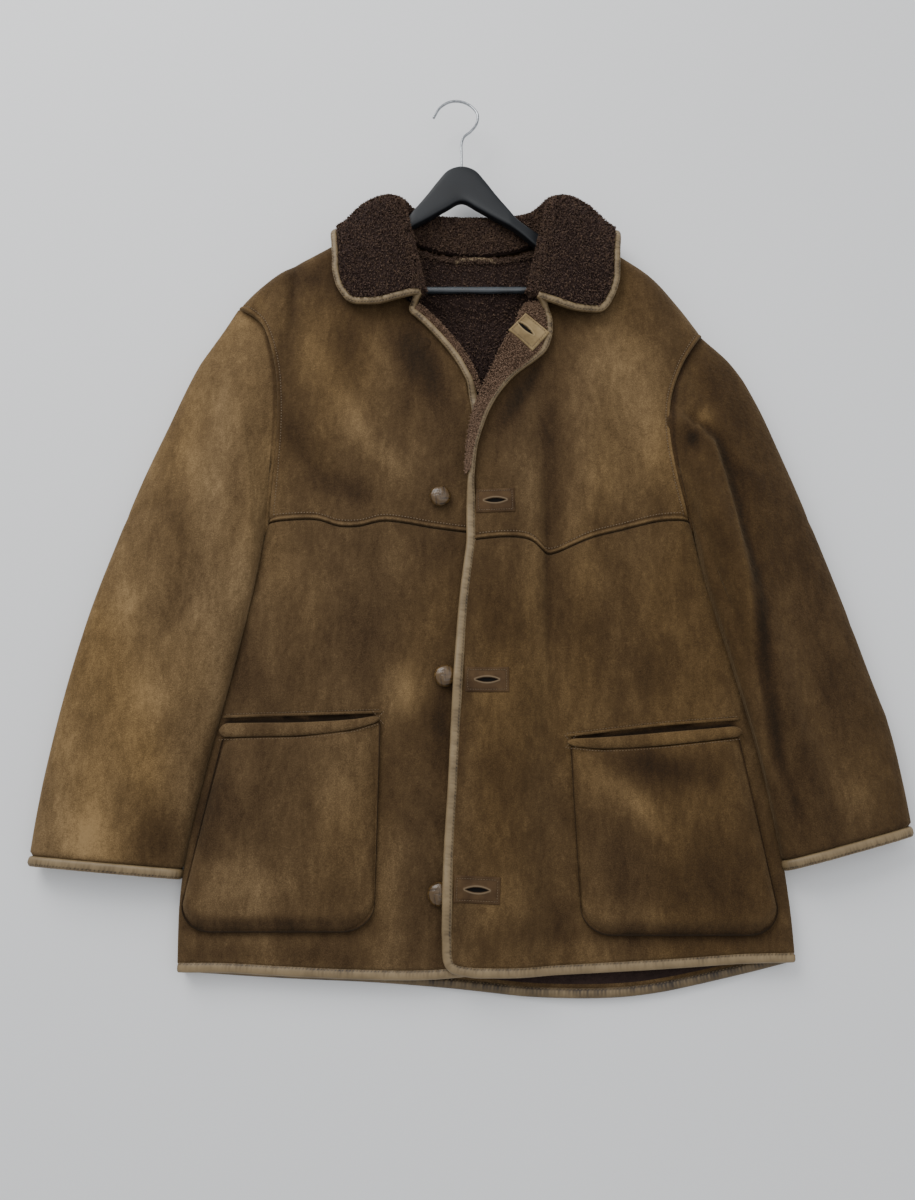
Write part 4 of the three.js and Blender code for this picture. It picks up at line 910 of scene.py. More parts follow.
def tube_along(path, across, up, wide, thick, sides, power=0.7):
    """A rounded bar: round each station runs a superellipse of its half width and half thickness."""
    angle = 2 * np.pi * (np.arange(sides) + 0.5) / sides
    w = np.sign(np.cos(angle)) * np.abs(np.cos(angle)) ** power
    h = np.sign(np.sin(angle)) * np.abs(np.sin(angle)) ** power
    wide, thick = np.broadcast_to(wide, len(path)), np.broadcast_to(thick, len(path))
    p = (path[:, None] + across[:, None] * (wide[:, None] * w)[..., None]
         + up[:, None] * (thick[:, None] * h)[..., None])
    return p, w, h


def tube_faces(rings, sides, closed=False):
    """Quads round a tube, with one face over each open end."""
    j, k = np.meshgrid(np.arange(rings if closed else rings - 1), np.arange(sides), indexing="ij")
    after = (j + 1) % rings
    a = j * sides + k
    b = j * sides + (k + 1) % sides
    faces = np.stack([a, after * sides + k, after * sides + (k + 1) % sides, b], axis=-1)
    faces = faces.reshape(-1, 4).tolist()
    if not closed:
        faces.append(list(range(sides)))
        faces.append(list(range((rings - 1) * sides, rings * sides))[::-1])
    return faces


# The same wool on the turned-back edges, in paler colours, light brown at the tips.
lapel_wool = wool_material("clipped sheepskin wool of the lapels", [(0.0, "#241812"), (0.35, "#3f2e23"),
                           (0.65, "#5e4939"), (1.0, "#8a705c")], 0.14)

roll_path = edge_run(LAPEL_EDGE["right"], 0.02, 0.985, ROLL_STATIONS, 8.2 + ROLL_WIDTH / 2)
roll_path[:, 2] = front_height("right", roll_path[:, 0], roll_path[:, 1]) + (SKIN + COLLAR_SKIN) / 2 + 0.3
roll_across, roll_up = frame_along(roll_path, UP)
t = np.linspace(0, 1, ROLL_STATIONS)
taper = np.sqrt(np.clip((1 - t) / 0.3, 0.12, 1)) * np.linspace(1.12, 1, ROLL_STATIONS)
roll_points, _, _ = tube_along(roll_path, roll_across, roll_up, taper * ROLL_WIDTH / 2,
                               taper * COLLAR_SKIN / 2, ROLL_SIDES)
lapel_right = make_piece("lapel_right_skin", roll_points, tube_faces(ROLL_STATIONS, ROLL_SIDES),
                         [lapel_wool])
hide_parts("lapel_right")

lapel_surface = patch(seam([LAPEL_FOLD[0], LAPEL_EDGE["left"][0]]),
                      seam([LAPEL_FOLD[-1], LAPEL_EDGE["left"][-1]]),
                      seam(LAPEL_FOLD), seam(LAPEL_EDGE["left"]),
                      lambda x, y: front_height("left", x, y) + LAPEL_LIFT,
                      (0.0, BOUND_INSET + 0.5, 0.5, 3.0))
lapel_points = lapel_surface(*np.meshgrid(spread(24), spread(110, 0.8)))
lapel_left = shell("lapel_left_skin", lapel_points, COLLAR_SKIN, [lapel_wool, lapel_wool])
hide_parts("lapel_left")

roots, up = scattered(lapel_surface, (0.01, 0.99), (0.0, 1.0), (46, 150), 21)
turned = math.radians(-40)
along = (roots[:, 0] - 73) * math.cos(turned) + (roots[:, 1] - 316) * math.sin(turned)
beside = -(roots[:, 0] - 73) * math.sin(turned) + (roots[:, 1] - 316) * math.cos(turned)
bare = (np.abs(along) < 18.5) & (np.abs(beside) < 16.5)       # under the buttonhole patch
roots, up = roots[~bare], up[~bare]
lapel_pile = pile("lapel_left_wool_pile", roots + up * 2.8, up, 3.2, 1.15, np.array([-0.1, -0.1, 0]), 22,
                  lapel_wool)
rng = np.random.default_rng(23)
station = rng.integers(1, ROLL_STATIONS - 1, ROLL_BLADES)
turn = rng.uniform(-0.3, np.pi + 0.3, ROLL_BLADES)
up = roll_across[station] * np.cos(turn)[:, None] + roll_up[station] * np.sin(turn)[:, None]
roots = roll_path[station] + up * (taper[station] * 2.6)[:, None]
roots += roll_across[station] * (taper[station] * np.cos(turn) * 0.8)[:, None]
roll_pile = pile("lapel_right_wool_pile", roots, up, 2.8, 1.1, np.array([0, -0.1, 0]), 24, lapel_wool)

# The bindings: strips of thin glazed leather folded over every raw edge and stitched through close
# to their inner edge. The leather puckers across at each stitch and more where the edge turns.

STITCH_PITCH = 3.4
BINDING_STATION = STITCH_PITCH / 3      # three stations to a stitch, for its hole and puckers
BINDING_SIDES = 16
CUFF_STATIONS = 336
BINDING_HALF = (5.0, 4.2)               # half width and half thickness
LINE = 0.66                             # the stitched line, as a share of the half width
PUCKER = 0.34                           # height of the puckers, and their mean width along the path
PUCKER_STEP = 1.9


def leather_material(name, stops, gloss=0.5, shine=0.4):
    """Thin leather: colour along a ramp by a soft cloud and by the painted shade of its puckers,
    grooves and holes, with a fine grain.
    """
    material, place = new_material(name)
    tone = plus(material, noise(material, place, 45.0, 4.0, 0.6), 0.7, 0.18)
    tone = plus(material, carried(material, "crease_shade"), -0.5, tone)
    normal = bump(material, cells(material, place, 1100.0), 0.25, 0.0004)
    return shaded(material, ramp(material, tone, stops), gloss, Normal=normal, IOR=1.5,
                  Specular_IOR_Level=shine)


# Thin glazed leather, pale olive brown with a low shine, with painted shade in its puckers, stitch
# grooves and holes.
binding_leather = leather_material("glazed binding leather", [(0.0, "#2c2116"), (0.3, "#65543a"),
                                   (0.55, "#7f6c4e"), (1.0, "#9d8867")])

# Waxed linen thread, a little darker than the leather, with a faint twist.
thread, place = new_material("waxed sewing thread")
colour = ramp(thread, noise(thread, place, 1500.0), [(0.3, "#4a3923"), (0.7, "#7c6647")])
shaded(thread, colour, 0.6, Sheen_Weight=0.2)


def stitches(name, path, up, pitch=STITCH_PITCH, thick=0.5, cover=0.62, reach=None):
    """A row of stitches: at even steps along the path lies a short bar whose two ends dip into the
    skin, each of four rings of four points. The steps follow the given reach, or the path's own."""
    if reach is None:
        reach = reach_of(path)
    count = max(2, int(reach[-1] / pitch + 0.001))
    ring = np.array([-1.0, -0.6, 0.6, 1.0])
    s = (np.arange(count)[:, None] + 0.5) * pitch + ring * pitch * cover / 2
    centre = np.stack([np.interp(s, reach, path[:, k]) for k in range(3)], axis=-1)
    rise = unit(np.stack([np.interp(s, reach, up[:, k]) for k in range(3)], axis=-1))
    along = np.broadcast_to(unit(centre[:, -1:] - centre[:, :1]), centre.shape)
    across = np.cross(along, rise)
    size = thick * np.array([0.35, 1.0, 1.0, 0.35])[None, :, None, None]
    dip = thick * np.array([-1.1, 0.1, 0.1, -1.1])[None, :, None]
    angle = 2 * np.pi * (np.arange(4) + 0.5) / 4
    p = (centre + rise * dip)[:, :, None] + size * (across[:, :, None] * np.cos(angle)[:, None]
                                                    + rise[:, :, None] * np.sin(angle)[:, None])
    one = np.array(tube_faces(4, 4)[:12])
    faces = (one[None] + np.arange(count)[:, None, None] * 16).reshape(-1, 4).tolist()
    ends = np.arange(count)[:, None] * 16
    faces += (ends + np.arange(4)).tolist() + (ends + np.arange(15, 11, -1)).tolist()
    piece = make_piece(name, p, faces, [thread])


def resampled(path):
    """The smooth line through the points of a path, read at even steps of a binding's station."""
    run = seam(path)
    return run(np.linspace(0, 1, int(run.length / BINDING_STATION)))


def binding(name, path, up, inner, half_wide=BINDING_HALF[0], half_thick=BINDING_HALF[1], closed=False,
            pucker=PUCKER, seed=1, shade=0.0):
    """A bound edge: a rounded bar whose surface dips along the stitched line and swells and sinks
    along the path by a random row of puckers, strongest between the stitches and the fold. A hole
    marks each end of a stitch."""
    rng = np.random.default_rng(seed)
    half_wide, half_thick = np.broadcast_to(half_wide, len(path)), np.broadcast_to(half_thick, len(path))
    across, up = frame_along(path, up, closed)
    count = len(path)
    p, w, h = tube_along(path, across, up, half_wide, half_thick, BINDING_SIDES)
    steps = np.arange(count) * BINDING_STATION
    knots = int(steps[-1] / PUCKER_STEP) + 4
    random = rng.uniform(-1, 1, knots)
    fold = np.interp(steps, np.linspace(0, steps[-1], knots), random)
    fold = 0.8 * fold + 0.5 * np.cos(2 * np.pi * steps / STITCH_PITCH)
    hole = (np.arange(count) % 3 == 0).astype(float)
    pucker = np.broadcast_to(pucker, count)
    if closed:
        fold *= np.clip(np.minimum(steps, steps[-1] - steps) / 8, 0, 1)
    toward = w * inner
    at = smooth(toward, -0.95, 0.35) * (1 - 0.6 * smooth(toward, 0.6, 1.0)) * (h > -0.2)
    groove = dome(toward, LINE, 0.13) * (h > 0)
    hole = hole[:, None] * groove
    outward = unit(across[:, None] * w[:, None] + up[:, None] * h[:, None])
    shift = (pucker * fold)[:, None] * at - 0.4 * groove - 0.5 * hole
    p = p + outward * shift[..., None]
    # Painted shade: in the sunk parts of the puckers, along the stitched groove, in each stitch hole and
    # along both folded sides, and evenly by the given shade.
    crease_shade = -fold[:, None] * at * 0.5 * (pucker / PUCKER)[:, None] + groove * 0.35 + hole * 1.3
    crease_shade = crease_shade + (np.abs(toward) > 0.93) * 0.3
    crease_shade = np.clip(crease_shade + shade, 0, 1)
    piece = make_piece(name, p, tube_faces(count, BINDING_SIDES, closed), [binding_leather], None,
                       {"crease_shade": crease_shade})
    line = path + across * (inner * LINE * half_wide)[:, None] + up * (half_thick * 0.72)[:, None]
    stitches(name + "_stitches", line, up, thick=0.5, cover=0.55, reach=steps)
    return piece


for k, row in enumerate(front_stitches):
    stitches(f"front_seam_stitches_{k + 1}", row, ups(row), 3.2, 0.6)

FRONT_STARTS = {"right": 0.72, "left": 0.86}      # where the turned-back edge ends on each front
LEAF_END = 0.0078                                 # the bound ends of the leaves, as a share of the collar
COLLAR_ENDS = {"right": (0.51, LEAF_END), "left": (0.60, 1 - LEAF_END)}
LAPEL_END = {"right": (246, 270), "left": (116, 150)}      # y where the binding comes down from it
for side in ("right", "left"):
    inward = BINDING_WIDTH / 2 * -SIGN[side]
    points = np.vstack([edge_run(LAPEL_EDGE[side], 0, 0.9, 11, -inward),
                        edge_run(FRONT_UPPER[side], FRONT_STARTS[side], 1, 5, inward),
                        edge_run(FRONT_LOWER[side], 0.06, 0.985, 16, inward),
                        edge_run(HEM[side], 0.025, 0.994, 18, inward)])
    if side == "left":
        points = round_corner(points)
    leaf_end = collar_surface(*COLLAR_ENDS[side])
    points = np.vstack([leaf_end, points])
    points = points[np.r_[True, np.linalg.norm(np.diff(points, axis=0), axis=1) > 4]]
    points[:, 2] = 0
    path = resampled(points)
    turned = smooth(path[:, 1], *LAPEL_END[side])
    path[:, 2] = front_height(side, path[:, 0], path[:, 1]) + LAPEL_LIFT * turned
    so_far = np.arange(len(path)) * BINDING_STATION
    climb = smooth(so_far, 15, 0)                 # up to the end of the collar's binding
    path[:, 2] += (leaf_end[2] - path[:, 2]) * climb
    piece = binding(f"binding_front_{side}_strip", path, ups(path), SIGN[side],
                    BINDING_HALF[0] - 1.4 * turned, BINDING_HALF[1] - 0.8 * turned,
                    pucker=PUCKER + 0.5 * smooth(so_far, 60, 20),
                    seed={"right": 31, "left": 32}[side])
    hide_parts(f"binding_front_{side}")

points = edge_run(BACK_HEM, 0.004, 0.996, 19, BINDING_WIDTH / 2)
points[:, 2] = 0
path = resampled(points)
path[:, 2] = np.maximum(back_height(path[:, 0], path[:, 1]), BINDING_THICK / 2)
# The back's hem lies in the shade of the fronts above it: its binding is given painted shade.
piece = binding("binding_back_hem_strip", path, ups(path), -1, seed=33, shade=0.55)
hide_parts("binding_back_hem")

for side in ("right", "left"):
    surface = sleeve_surface(side)
    u = np.linspace(0, 1, CUFF_STATIONS, endpoint=False)
    path = surface(u, before_cuff(side, u, BINDING_WIDTH / 2))
    above = surface(u, before_cuff(side, u, 4.0)) - surface(u, before_cuff(side, u, 7.0))
    round_it = np.roll(path, -1, axis=0) - np.roll(path, 1, axis=0)
    up = unit(np.cross(above, round_it))
    up *= np.sign((up * (path - path.mean(axis=0))).sum(axis=1).mean())
    piece = binding(f"binding_cuff_{side}_strip", path, up, SIGN[side], closed=True,
                    seed={"right": 34, "left": 35}[side])
    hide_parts(f"binding_cuff_{side}")

route = np.array([(u, LEAF_END) for u in (0.51, 0.6, 0.7, 0.8, 0.9)]
                 + [(0.975, t) for t in np.linspace(0.012, 0.988, 35)]
                 + [(u, 1 - LEAF_END) for u in (0.9, 0.8, 0.7, 0.6)])
points = collar_surface(route[:, 0], route[:, 1])
du = collar_surface(route[:, 0] + 0.004, route[:, 1]) - collar_surface(route[:, 0] - 0.004, route[:, 1])
dv = collar_surface(route[:, 0], route[:, 1] + 0.004) - collar_surface(route[:, 0], route[:, 1] - 0.004)
up = unit(np.cross(dv, du))
path = resampled(points)
nearest = np.linspace(0, 1, len(path))
reach = reach_of(points)
up = np.stack([np.interp(nearest * reach[-1], reach, up[:, k]) for k in range(3)], axis=-1)
piece = binding("binding_collar_strip", path, up, -1, 3.8, 3.7, pucker=0.46, seed=36)
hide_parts("binding_collar")

# The pockets: a bag of skin sewn to each lower front, so that its shape stands out softly, with a
# slit above it whose lower edge is a padded roll of suede.

POCKET = {
    "right": {"left": (-239, -269), "right": (-82, -84), "bottom": -306},
    "left": {"left": (108, 113), "right": (276, 301), "bottom": -309},
}
POCKET_CORNER = 26
POCKET_SKIN = 6.0
TACK = {"right": (-84, -102), "left": (108, -126)}      # the crossed stitches at an end of a mouth
MOUTH_STATIONS = 170
WELT_SIDES = 22
LIP_SIDES = 10


def on_panel(side, x, y, lift):
    """A height above the outside of a front."""
    return front_height(side, x, y) + SKIN / 2 + lift


def laid(side, path, lift):
    """The points of a path at a height above the outside of a front."""
    return np.column_stack([path[:, :2], on_panel(side, path[:, 0], path[:, 1], lift)])


def pocket_surface(side):
    """Between two slanting sides, from the foot of the mouth's roll down to a bottom with rounded
    corners."""
    sizes = POCKET[side]
    mouth = np.array(MOUTH[side]["bottom"], float)

    def surface(u, v):
        u, v = np.broadcast_arrays(np.asarray(u, float), np.asarray(v, float))
        left = sizes["left"][0] * (1 - v) + sizes["left"][1] * v
        right = sizes["right"][0] * (1 - v) + sizes["right"][1] * v
        x = left * (1 - u) + right * u
        width = sizes["right"][0] - sizes["left"][0]
        drop = np.maximum(0, 1 - np.minimum(u, 1 - u) * width / POCKET_CORNER)
        low = sizes["bottom"] + POCKET_CORNER * (1 - np.sqrt(np.maximum(0, 1 - drop * drop)))
        high = np.interp(x, mouth[:, 0], mouth[:, 1]) - 1.0
        y = high * (1 - v) + low * v
        return np.stack([x, y, on_panel(side, x, y, POCKET_SKIN / 2 + 1.3)], axis=-1)
    return surface


for side in ("right", "left"):
    surface = pocket_surface(side)
    points = surface(*np.meshgrid(spread(98, 0.7), spread(98, 0.7)))
    left, right, top, bottom = side_distances(points)
    sewn = sided(side, right, left)[0]                        # the side towards the front edge
    edge = np.minimum(np.minimum(left, right), bottom)
    relief = -4.6 * (1 - smooth(edge, 0, 16)) - 3.0 * (1 - smooth(sewn, 3, 46))
    relief -= 2.0 * (1 - smooth(top, 0, 12)) + 0.5 * dome(sewn, 4, 1.2)
    # Painted shadow along the bottom and round the edges of the pocket bag, and a painted highlight on the
    # rounding above its bottom.
    tone = blots(WEAR_LIGHT_AND_SHADE, points[..., 0], points[..., 1]) - 0.25 * dome(bottom, 0, 3.5)
    tone -= 0.9 * dome(edge, 0, 1.3)
    tone += 0.12 * dome(bottom, 16, 8)
    pocket = shell(f"pocket_{side}_skin", points, POCKET_SKIN, [suede, suede], relief, tone,
                   (6, 6, 5, 6))
    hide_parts(f"pocket_{side}")

    # The roll: a padded fold of suede between its top and bottom lines
    t = np.linspace(0, 1, MOUTH_STATIONS)
    top_line, bottom_line, lip_line = (seam(MOUTH[side][k])(t) for k in ("top", "bottom", "lip"))
    path = laid(side, (top_line + bottom_line) / 2, 2.4)
    half_wide = np.linalg.norm(top_line - bottom_line, axis=1) / 2
    from_end = np.minimum(t, 1 - t) * MOUTH_STATIONS / 9
    half_wide = half_wide * np.maximum(0.25, np.sqrt(1 - (1 - np.clip(from_end, 0, 1)) ** 2))
    across, up = frame_along(path, UP)
    p, w, h = tube_along(path, across, up, half_wide, 1.6 + 0.36 * half_wide, WELT_SIDES, 0.9)
    # Painted light on the upper half of the roll and painted shade along both its sides.
    tone = np.broadcast_to(0.16 * (h > 0) - 0.6 * (np.abs(w) > 0.93), p.shape[:2])
    welt = make_piece(f"pocket_welt_{side}_roll", p, tube_faces(*p.shape[:2]), [suede], None,
                      {"wear_light_and_shade": tone})
    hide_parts(f"pocket_welt_{side}")

    # The upper lip, a folded edge sewn down above the slit
    lip_line = laid(side, lip_line + np.array([0, 1.2, 0]), 0.1)
    across, up = frame_along(lip_line, UP)
    p, _, _ = tube_along(lip_line, across, up, 1.5, 1.2, LIP_SIDES, 0.9)
    lip = make_piece(f"pocket_mouth_{side}_lip", p, tube_faces(*p.shape[:2]), [suede], None,
                     {"wear_light_and_shade": np.full(p.shape[:2], 0.1)})

    # The stitches: above the lip, below the roll, down the inner side, and a cross at one end
    rows = {"lip": laid(side, lip_line + np.array([0, 2.4, 0]), 0.1),
            "roll": laid(side, bottom_line - np.array([0, 2.2, 0]), 1.3 + POCKET_SKIN - 2.6),
            "side": laid(side, inside_edge(surface, np.linspace(0.02, 0.86, 120), side, 4.0, 0), 0.9)}
    cx, cy = TACK[side]
    for label, flip in (("tack_1", 1), ("tack_2", -1)):
        rows[label] = laid(side, np.linspace([cx + 6 * flip, cy + 7], [cx - 6 * flip, cy - 7], 12), 3.4)
    for label, row in rows.items():
        stitches(f"pocket_{side}_{label}_stitches", row, ups(row), 3.0, 0.36)

# The buttons: domes covered with woven strips of brown leather and sewn to the right front. The
# uppermost lies half hidden beside the turned-back edge.

BUTTON_RADIUS = 11.25
BUTTON_HEIGHT = 9.0
RINGS = 34                # from the top of the dome to the middle of its foot
SPOKES = 72
STRAND = 5.0              # width of one woven strip
SUNK = (4.0, 5.0, -8.6)   # the uppermost lies this far in the hollow beside the turned-back edge

# Thin leather like that of the bindings, but dark and polished by hands.
button_leather = leather_material("woven button leather", [(0.0, "#171009"), (0.3, "#372816"),
                                  (0.6, "#594325"), (1.0, "#86693f")], 0.24, 0.55)
angle = np.linspace(0, 2 * np.pi, SPOKES, endpoint=False)
profile = np.array([(0, 1), (0.55, 0.93), (0.86, 0.74), (1, 0.48), (0.98, 0.3), (0.72, 0), (0, 0)])
along = np.linspace(0, len(profile) - 1, RINGS)
radius = np.interp(along, np.arange(len(profile)), profile[:, 0])[:, None] * BUTTON_RADIUS
height = np.interp(along, np.arange(len(profile)), profile[:, 1])[:, None] * BUTTON_HEIGHT
bx, by = radius * np.cos(angle), radius * np.sin(angle)
strand = np.where(bx * by > 0, bx + by * 0.15, by - bx * 0.15)
weave = np.abs(np.sin(np.pi * strand / STRAND))
on_top = (1 - smooth(along, 14, 18))[:, None]
bz = height + 0.25 * (weave - 0.6) * on_top
shape = np.stack([bx, by, bz], axis=-1)
faces = grid_faces(RINGS, SPOKES, closed=True)
for k, (x, y) in enumerate(BUTTONS):
    place = np.array([x, y, float(on_panel("right", np.array(x), np.array(y), 1.0))])
    look = button_leather
    if k == 0:
        place += SUNK
        look = suede                              # drawn in the suede and painted dark for the shadow of its hollow
    # Painted shade in the grooves between the woven strips; the uppermost button is given painted shade all
    # over through the tone the suede reads.
    button = make_piece(f"button_{k + 1}_woven", shape + place, faces, [look], None,
                        {"crease_shade": (1 - weave) ** 3 * on_top * 0.7, "wear_light_and_shade": weave * 0.1 - 0.75})
    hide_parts(f"button_{k + 1}")

# The buttonholes: a patch on the left front round each slot, stitched down along its sides, with
# two padded lips of pale leather that meet in the slot.

PATCHES = {
    "buttonhole_patch_2": (35, 125, 2, 41, 26),
    "buttonhole_patch_3": (25, -65, 0, 44, 25),
    "buttonhole_patch_4": (14, -267, -3, 44, 25),
}
LAPEL_PATCH = (73.4, 316.8, -40, 34, 30)
SLOT = (11.5, 2.5)        # half length and half height of the open slot
PLATE_DEPTH = 4.0         # how far a patch reaches down into the front
PATCH_STITCH = 2.6        # from the sides of a patch to its stitches, and the pitch of these


def patch_material(name, base, lip):
    """Leather of a patch, with the pale lips mixed in and painted shade, near black, inside its slot."""
    material, place = new_material(name)
    colour = ramp(material, noise(material, place, 60.0, 5.0, 0.6), base)
    colour = mixed(material, carried(material, "lip"), colour, lip)
    # Painted shade: inside the slot the colour turns near black.
    colour = mixed(material, carried(material, "inside"), colour, "#0d0906")
    normal = bump(material, noise(material, place, 800.0, 3.0), 0.3, 0.0005)
    return shaded(material, colour, 0.85, Normal=normal, IOR=1.45, Specular_IOR_Level=0.18)


def buttonhole(name, cx, cy, turn, width, height, surface_z, material, slot_at=0.0):
    """A thin plate in its own plane, x along the slot: the lips are a ridge round a pointed oval,
    the slot sinks inside it, and a fine groove runs 3 mm inside the plate's sides."""
    a, b = np.meshgrid(np.linspace(-1, 1, 66), np.linspace(1, -1, 41))
    a, b = a * width / 2, b * height / 2
    slid = a - slot_at
    eye = SLOT[1] * np.clip(1 - (slid / SLOT[0]) ** 2, 0, None)
    past = np.hypot(np.clip(np.abs(slid) - SLOT[0], 0, None), np.clip(np.abs(b) - eye, 0, None))
    depth = np.clip(eye - np.abs(b), 0, None)
    side = np.minimum(width / 2 - np.abs(a), height / 2 - np.abs(b))
    lip = dome(past, 0.9, 0.7) * (past > 0)
    rise = 0.9 * np.sqrt(np.clip(side / 1.6, 0, 1)) + 0.8 * lip - 1.35 * smooth(depth, 0, 0.9)
    rise -= 0.5 * dome(side, PATCH_STITCH, 0.8)
    angle = math.radians(turn)
    x = cx + a * math.cos(angle) - b * math.sin(angle)
    y = cy + a * math.sin(angle) + b * math.cos(angle)
    top = np.stack([x, y, surface_z(x, y) + rise], axis=-1)
    low = np.stack([x, y, surface_z(x, y) - PLATE_DEPTH], axis=-1)
    shades = {"lip": np.stack([lip, 0 * lip]), "inside": np.stack([smooth(depth, -0.1, 0.5), 0 * lip])}
    piece = make_piece(name + "_plate", np.stack([top, low]), np.concatenate(wall_faces(*a.shape)),
                       [material], None, shades)
    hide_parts(name)
    corner = np.array([(1, 1), (1, -1), (-1, -1), (-1, 1), (1, 1)], float)
    outline = corner * np.array([width / 2 - PATCH_STITCH, height / 2 - PATCH_STITCH])
    t = np.linspace(0, 4, 161)
    la = np.interp(t, np.arange(5), outline[:, 0])
    lb = np.interp(t, np.arange(5), outline[:, 1])
    x = cx + la * math.cos(angle) - lb * math.sin(angle)
    y = cy + la * math.sin(angle) + lb * math.cos(angle)
    path = np.stack([x, y, surface_z(x, y) + 1.25], axis=-1)
    stitches(name + "_stitches", path, ups(path), PATCH_STITCH, 0.32)


# Suede like the front under it with paler lips; on the turned-back edge bare pale leather.
patch_suede = patch_material("buttonhole suede", [(0.2, "#38281a"), (0.5, "#4e3b27"), (0.8, "#634d33")],
                             "#7d6b54")
patch_leather = patch_material("pale lapel patch leather", [(0.2, "#6f5d40"), (0.5, "#8f7a57"),
                               (0.8, "#a8926c")], "#a18c68")
for name, (cx, cy, turn, width, height) in PATCHES.items():
    buttonhole(name, cx, cy, turn, width, height, lambda x, y: on_panel("left", x, y, 0.6), patch_suede)
buttonhole("buttonhole_patch_1", *LAPEL_PATCH,
           lambda x, y: front_height("left", x, y) + LAPEL_LIFT + COLLAR_SKIN / 2 + 1.1,
           patch_leather, -5.0)

# The hanging loop: a narrow strap of the same leather as the bindings, whose two ends are sewn into
# the neck seam inside. It is shown as its CAD solid.

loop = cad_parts["hang_loop"]
loop.data.materials.clear()
loop.data.materials.append(binding_leather)

# The hanger: a body and a trouser bar moulded in one from charcoal plastic, with a plated wire hook
# set into its top. It lies inside the neck, under the turned-back edges.

# Charcoal plastic with a satin skin: a broad soft shine that changes a little along the moulding.
plastic, place = new_material("satin moulded plastic")
flow = noise(plastic, place, 25.0, 3.0)
shaded(plastic, ramp(plastic, flow, [(0.2, "#0d0f12"), (0.8, "#171a1e")]),
       between(plastic, flow, 0.36, 0.5), IOR=1.4)

# Nickel plated wire, pale and clear in its reflections.
chrome, place = new_material("nickel plated steel wire")
drawn = noise(chrome, place, 300.0)
shaded(chrome, ramp(chrome, drawn, [(0.3, "#8f9295"), (0.7, "#b9bcbf")]),
       between(chrome, drawn, 0.16, 0.3), Metallic=1.0)

HANGER_UPPER = [(0, 538), (15, 533), (27, 518), (39, 500), (52, 482), (63, 468), (80, 456), (100, 445),
                (120, 434), (150, 415), (180, 396), (195, 385), (198, 377)]
HANGER_LOWER = [(0, 491), (18, 481), (38, 468), (62, 453), (90, 431), (120, 411), (150, 390), (172, 377),
                (184, 370), (193, 370)]
HANGER_Z = np.array([(0, 36), (56, 36), (75, 32.5), (100, 27), (150, 22), (220, 21)])
HOOK = [(0, 538.3), (0, 559), (0, 571), (3, 581), (11, 589), (18, 600), (19, 613), (12, 624), (0, 631),
        (-13, 631), (-25, 623), (-33, 608)]
HANGER_STATIONS = 181
HANGER_HALF = 5.5                     # half thickness of the body
BAR_ENDS = np.array([(-163, 386, 21.4), (163, 386, 21.4)])
BAR_RADIUS = 4.0
HOOK_LEVEL = 36.0
HOOK_RADIUS = 1.6

t = np.linspace(0, 1, HANGER_STATIONS)
upper_line, lower_line = (seam([(-x, y) for x, y in table[:0:-1]] + table)(t)
                          for table in (HANGER_UPPER, HANGER_LOWER))
across = upper_line - lower_line
half_wide = np.linalg.norm(across, axis=1) / 2
p, _, _ = tube_along((upper_line + lower_line) / 2, across / (2 * half_wide)[:, None],
                     ups(across), half_wide, HANGER_HALF, 24, 0.35)
p[..., 2] += np.interp(np.abs(p[..., 0]), HANGER_Z[:, 0], HANGER_Z[:, 1])
body = make_piece("hanger_body", p, [f[::-1] for f in tube_faces(*p.shape[:2])], [plastic])
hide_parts("hanger")

# The same plastic, glossier so that a sharp bright line shows along the bar, and painted greyer to
# stand in for the reflection of the light along it.
bar_plastic, place = new_material("trouser bar plastic, smooth, painted lighter")
colour = ramp(bar_plastic, noise(bar_plastic, place, 60.0), [(0.3, "#24282c"), (0.7, "#373d42")])
shaded(bar_plastic, colour, 0.25, IOR=1.5, Specular_IOR_Level=0.9)
line = np.linspace(*BAR_ENDS, 12)
across, up = (np.tile(one, (12, 1)) for one in ([0.0, 1.0, 0.0], UP))
p, _, _ = tube_along(line, across, up, BAR_RADIUS, BAR_RADIUS, 20, 1)
bar = make_piece("hanger_bar", p, [f[::-1] for f in tube_faces(*p.shape[:2])], [bar_plastic])

line = seam(HOOK)(np.linspace(0, 1, 110)) + HOOK_LEVEL * UP
across, up = frame_along(line, UP)
p, _, _ = tube_along(line, across, up, HOOK_RADIUS, HOOK_RADIUS, 14, 1)
hook = make_piece("hanger_hook_wire", p, tube_faces(*p.shape[:2]), [chrome])
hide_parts("hanger_hook")

# The wool inside the back that shows in the neck opening, and the ridge of wool that stands along
# the neck seam: the clipped side of the skins, as blades.

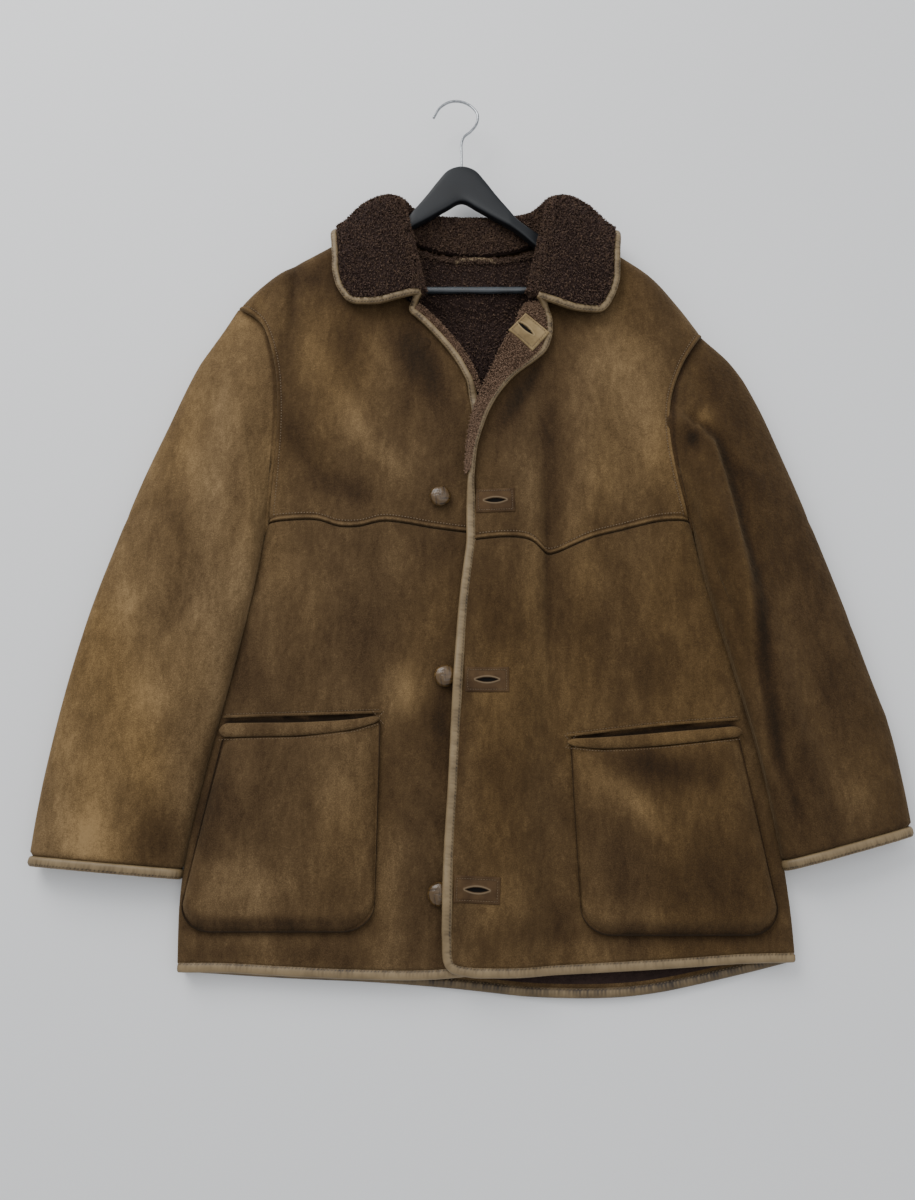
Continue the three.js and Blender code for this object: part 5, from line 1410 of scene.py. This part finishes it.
roots, up = scattered(back_surface, (0.30, 0.74), (0.0, 0.42), (110, 150), 41)
gap = np.interp(roots[:, 1], [150, 300, 350, 460], [20, 62, 80, 110])
shown = np.abs(roots[:, 0] - 14) < gap
back_pile = pile("back_wool_pile", roots[shown] + up[shown] * 3.6, up[shown], 4.2, 1.4,
                 np.array([0, -0.15, 0]), 42)
RIDGE_BLADES = 2400
rng = np.random.default_rng(43)
t = rng.uniform(0.08, 0.92, RIDGE_BLADES)
roots = seam(BACK_NECK)(t)
roots[:, 1] -= rng.uniform(1.5, 7.5, RIDGE_BLADES)
roots[:, 2] = back_height(roots[:, 0], roots[:, 1]) + SKIN / 2 - 0.5
up = np.tile(np.array([0, 0.25, 0.97]), (RIDGE_BLADES, 1))
ridge_pile = pile("neck_seam_wool_pile", roots, up, 5.2, 1.3, np.array([0, -0.2, 0]), 44)

# The floor under the coat, the light and the camera: a plain pale floor, soft light from a wide
# window at the upper left and an even fill from all round.

floor_mesh = bpy.data.meshes.new("floor")
floor_mesh.from_pydata([(-3, -3, 0), (3, -3, 0), (3, 3, 0), (-3, 3, 0)], [], [(0, 1, 2, 3)])
floor = bpy.data.objects.new("floor", floor_mesh)
bpy.context.scene.collection.objects.link(floor)

# Matt pale paint with hardly any shine.
paint, place = new_material("matt pale floor")
shaded(paint, between(paint, noise(paint, place, 3.0), 0.8, 0.83), 0.9)
floor_mesh.materials.append(paint)

world = bpy.data.worlds.new("studio")
bpy.context.scene.world = world
world.use_nodes = True
world.node_tree.nodes["Background"].inputs["Color"].default_value = linear("#eef1f5")
world.node_tree.nodes["Background"].inputs["Strength"].default_value = 0.75
for label, place, size, power in (("window", (-1.1, 1.6, 1.7), 1.6, 46.0),
                                  ("ceiling", (0.6, 0.2, 2.4), 2.2, 14.0)):
    light = bpy.data.lights.new(label, "AREA")
    light.shape = "SQUARE"
    light.size = size
    light.energy = power
    lamp = bpy.data.objects.new(label, light)
    bpy.context.scene.collection.objects.link(lamp)
    lamp.location = place
    x, y, z = place                               # each lamp looks at the origin
    lamp.rotation_euler = (math.atan2(math.hypot(x, y), z), 0, math.atan2(x, -y))

SENSOR = 36.0                      # height of the sensor in millimetres
FOCAL_SHARE = 950 / 1200           # focal length as a share of the sensor's height
view = bpy.data.cameras.new("camera")
view.sensor_fit = "VERTICAL"
view.sensor_height = SENSOR
view.lens = SENSOR * FOCAL_SHARE
camera = bpy.data.objects.new("camera", view)
bpy.context.scene.collection.objects.link(camera)
camera.location = (-0.01408, -0.36815, 0.975)
camera.rotation_euler = (math.radians(15), 0, 0)
bpy.context.scene.camera = camera
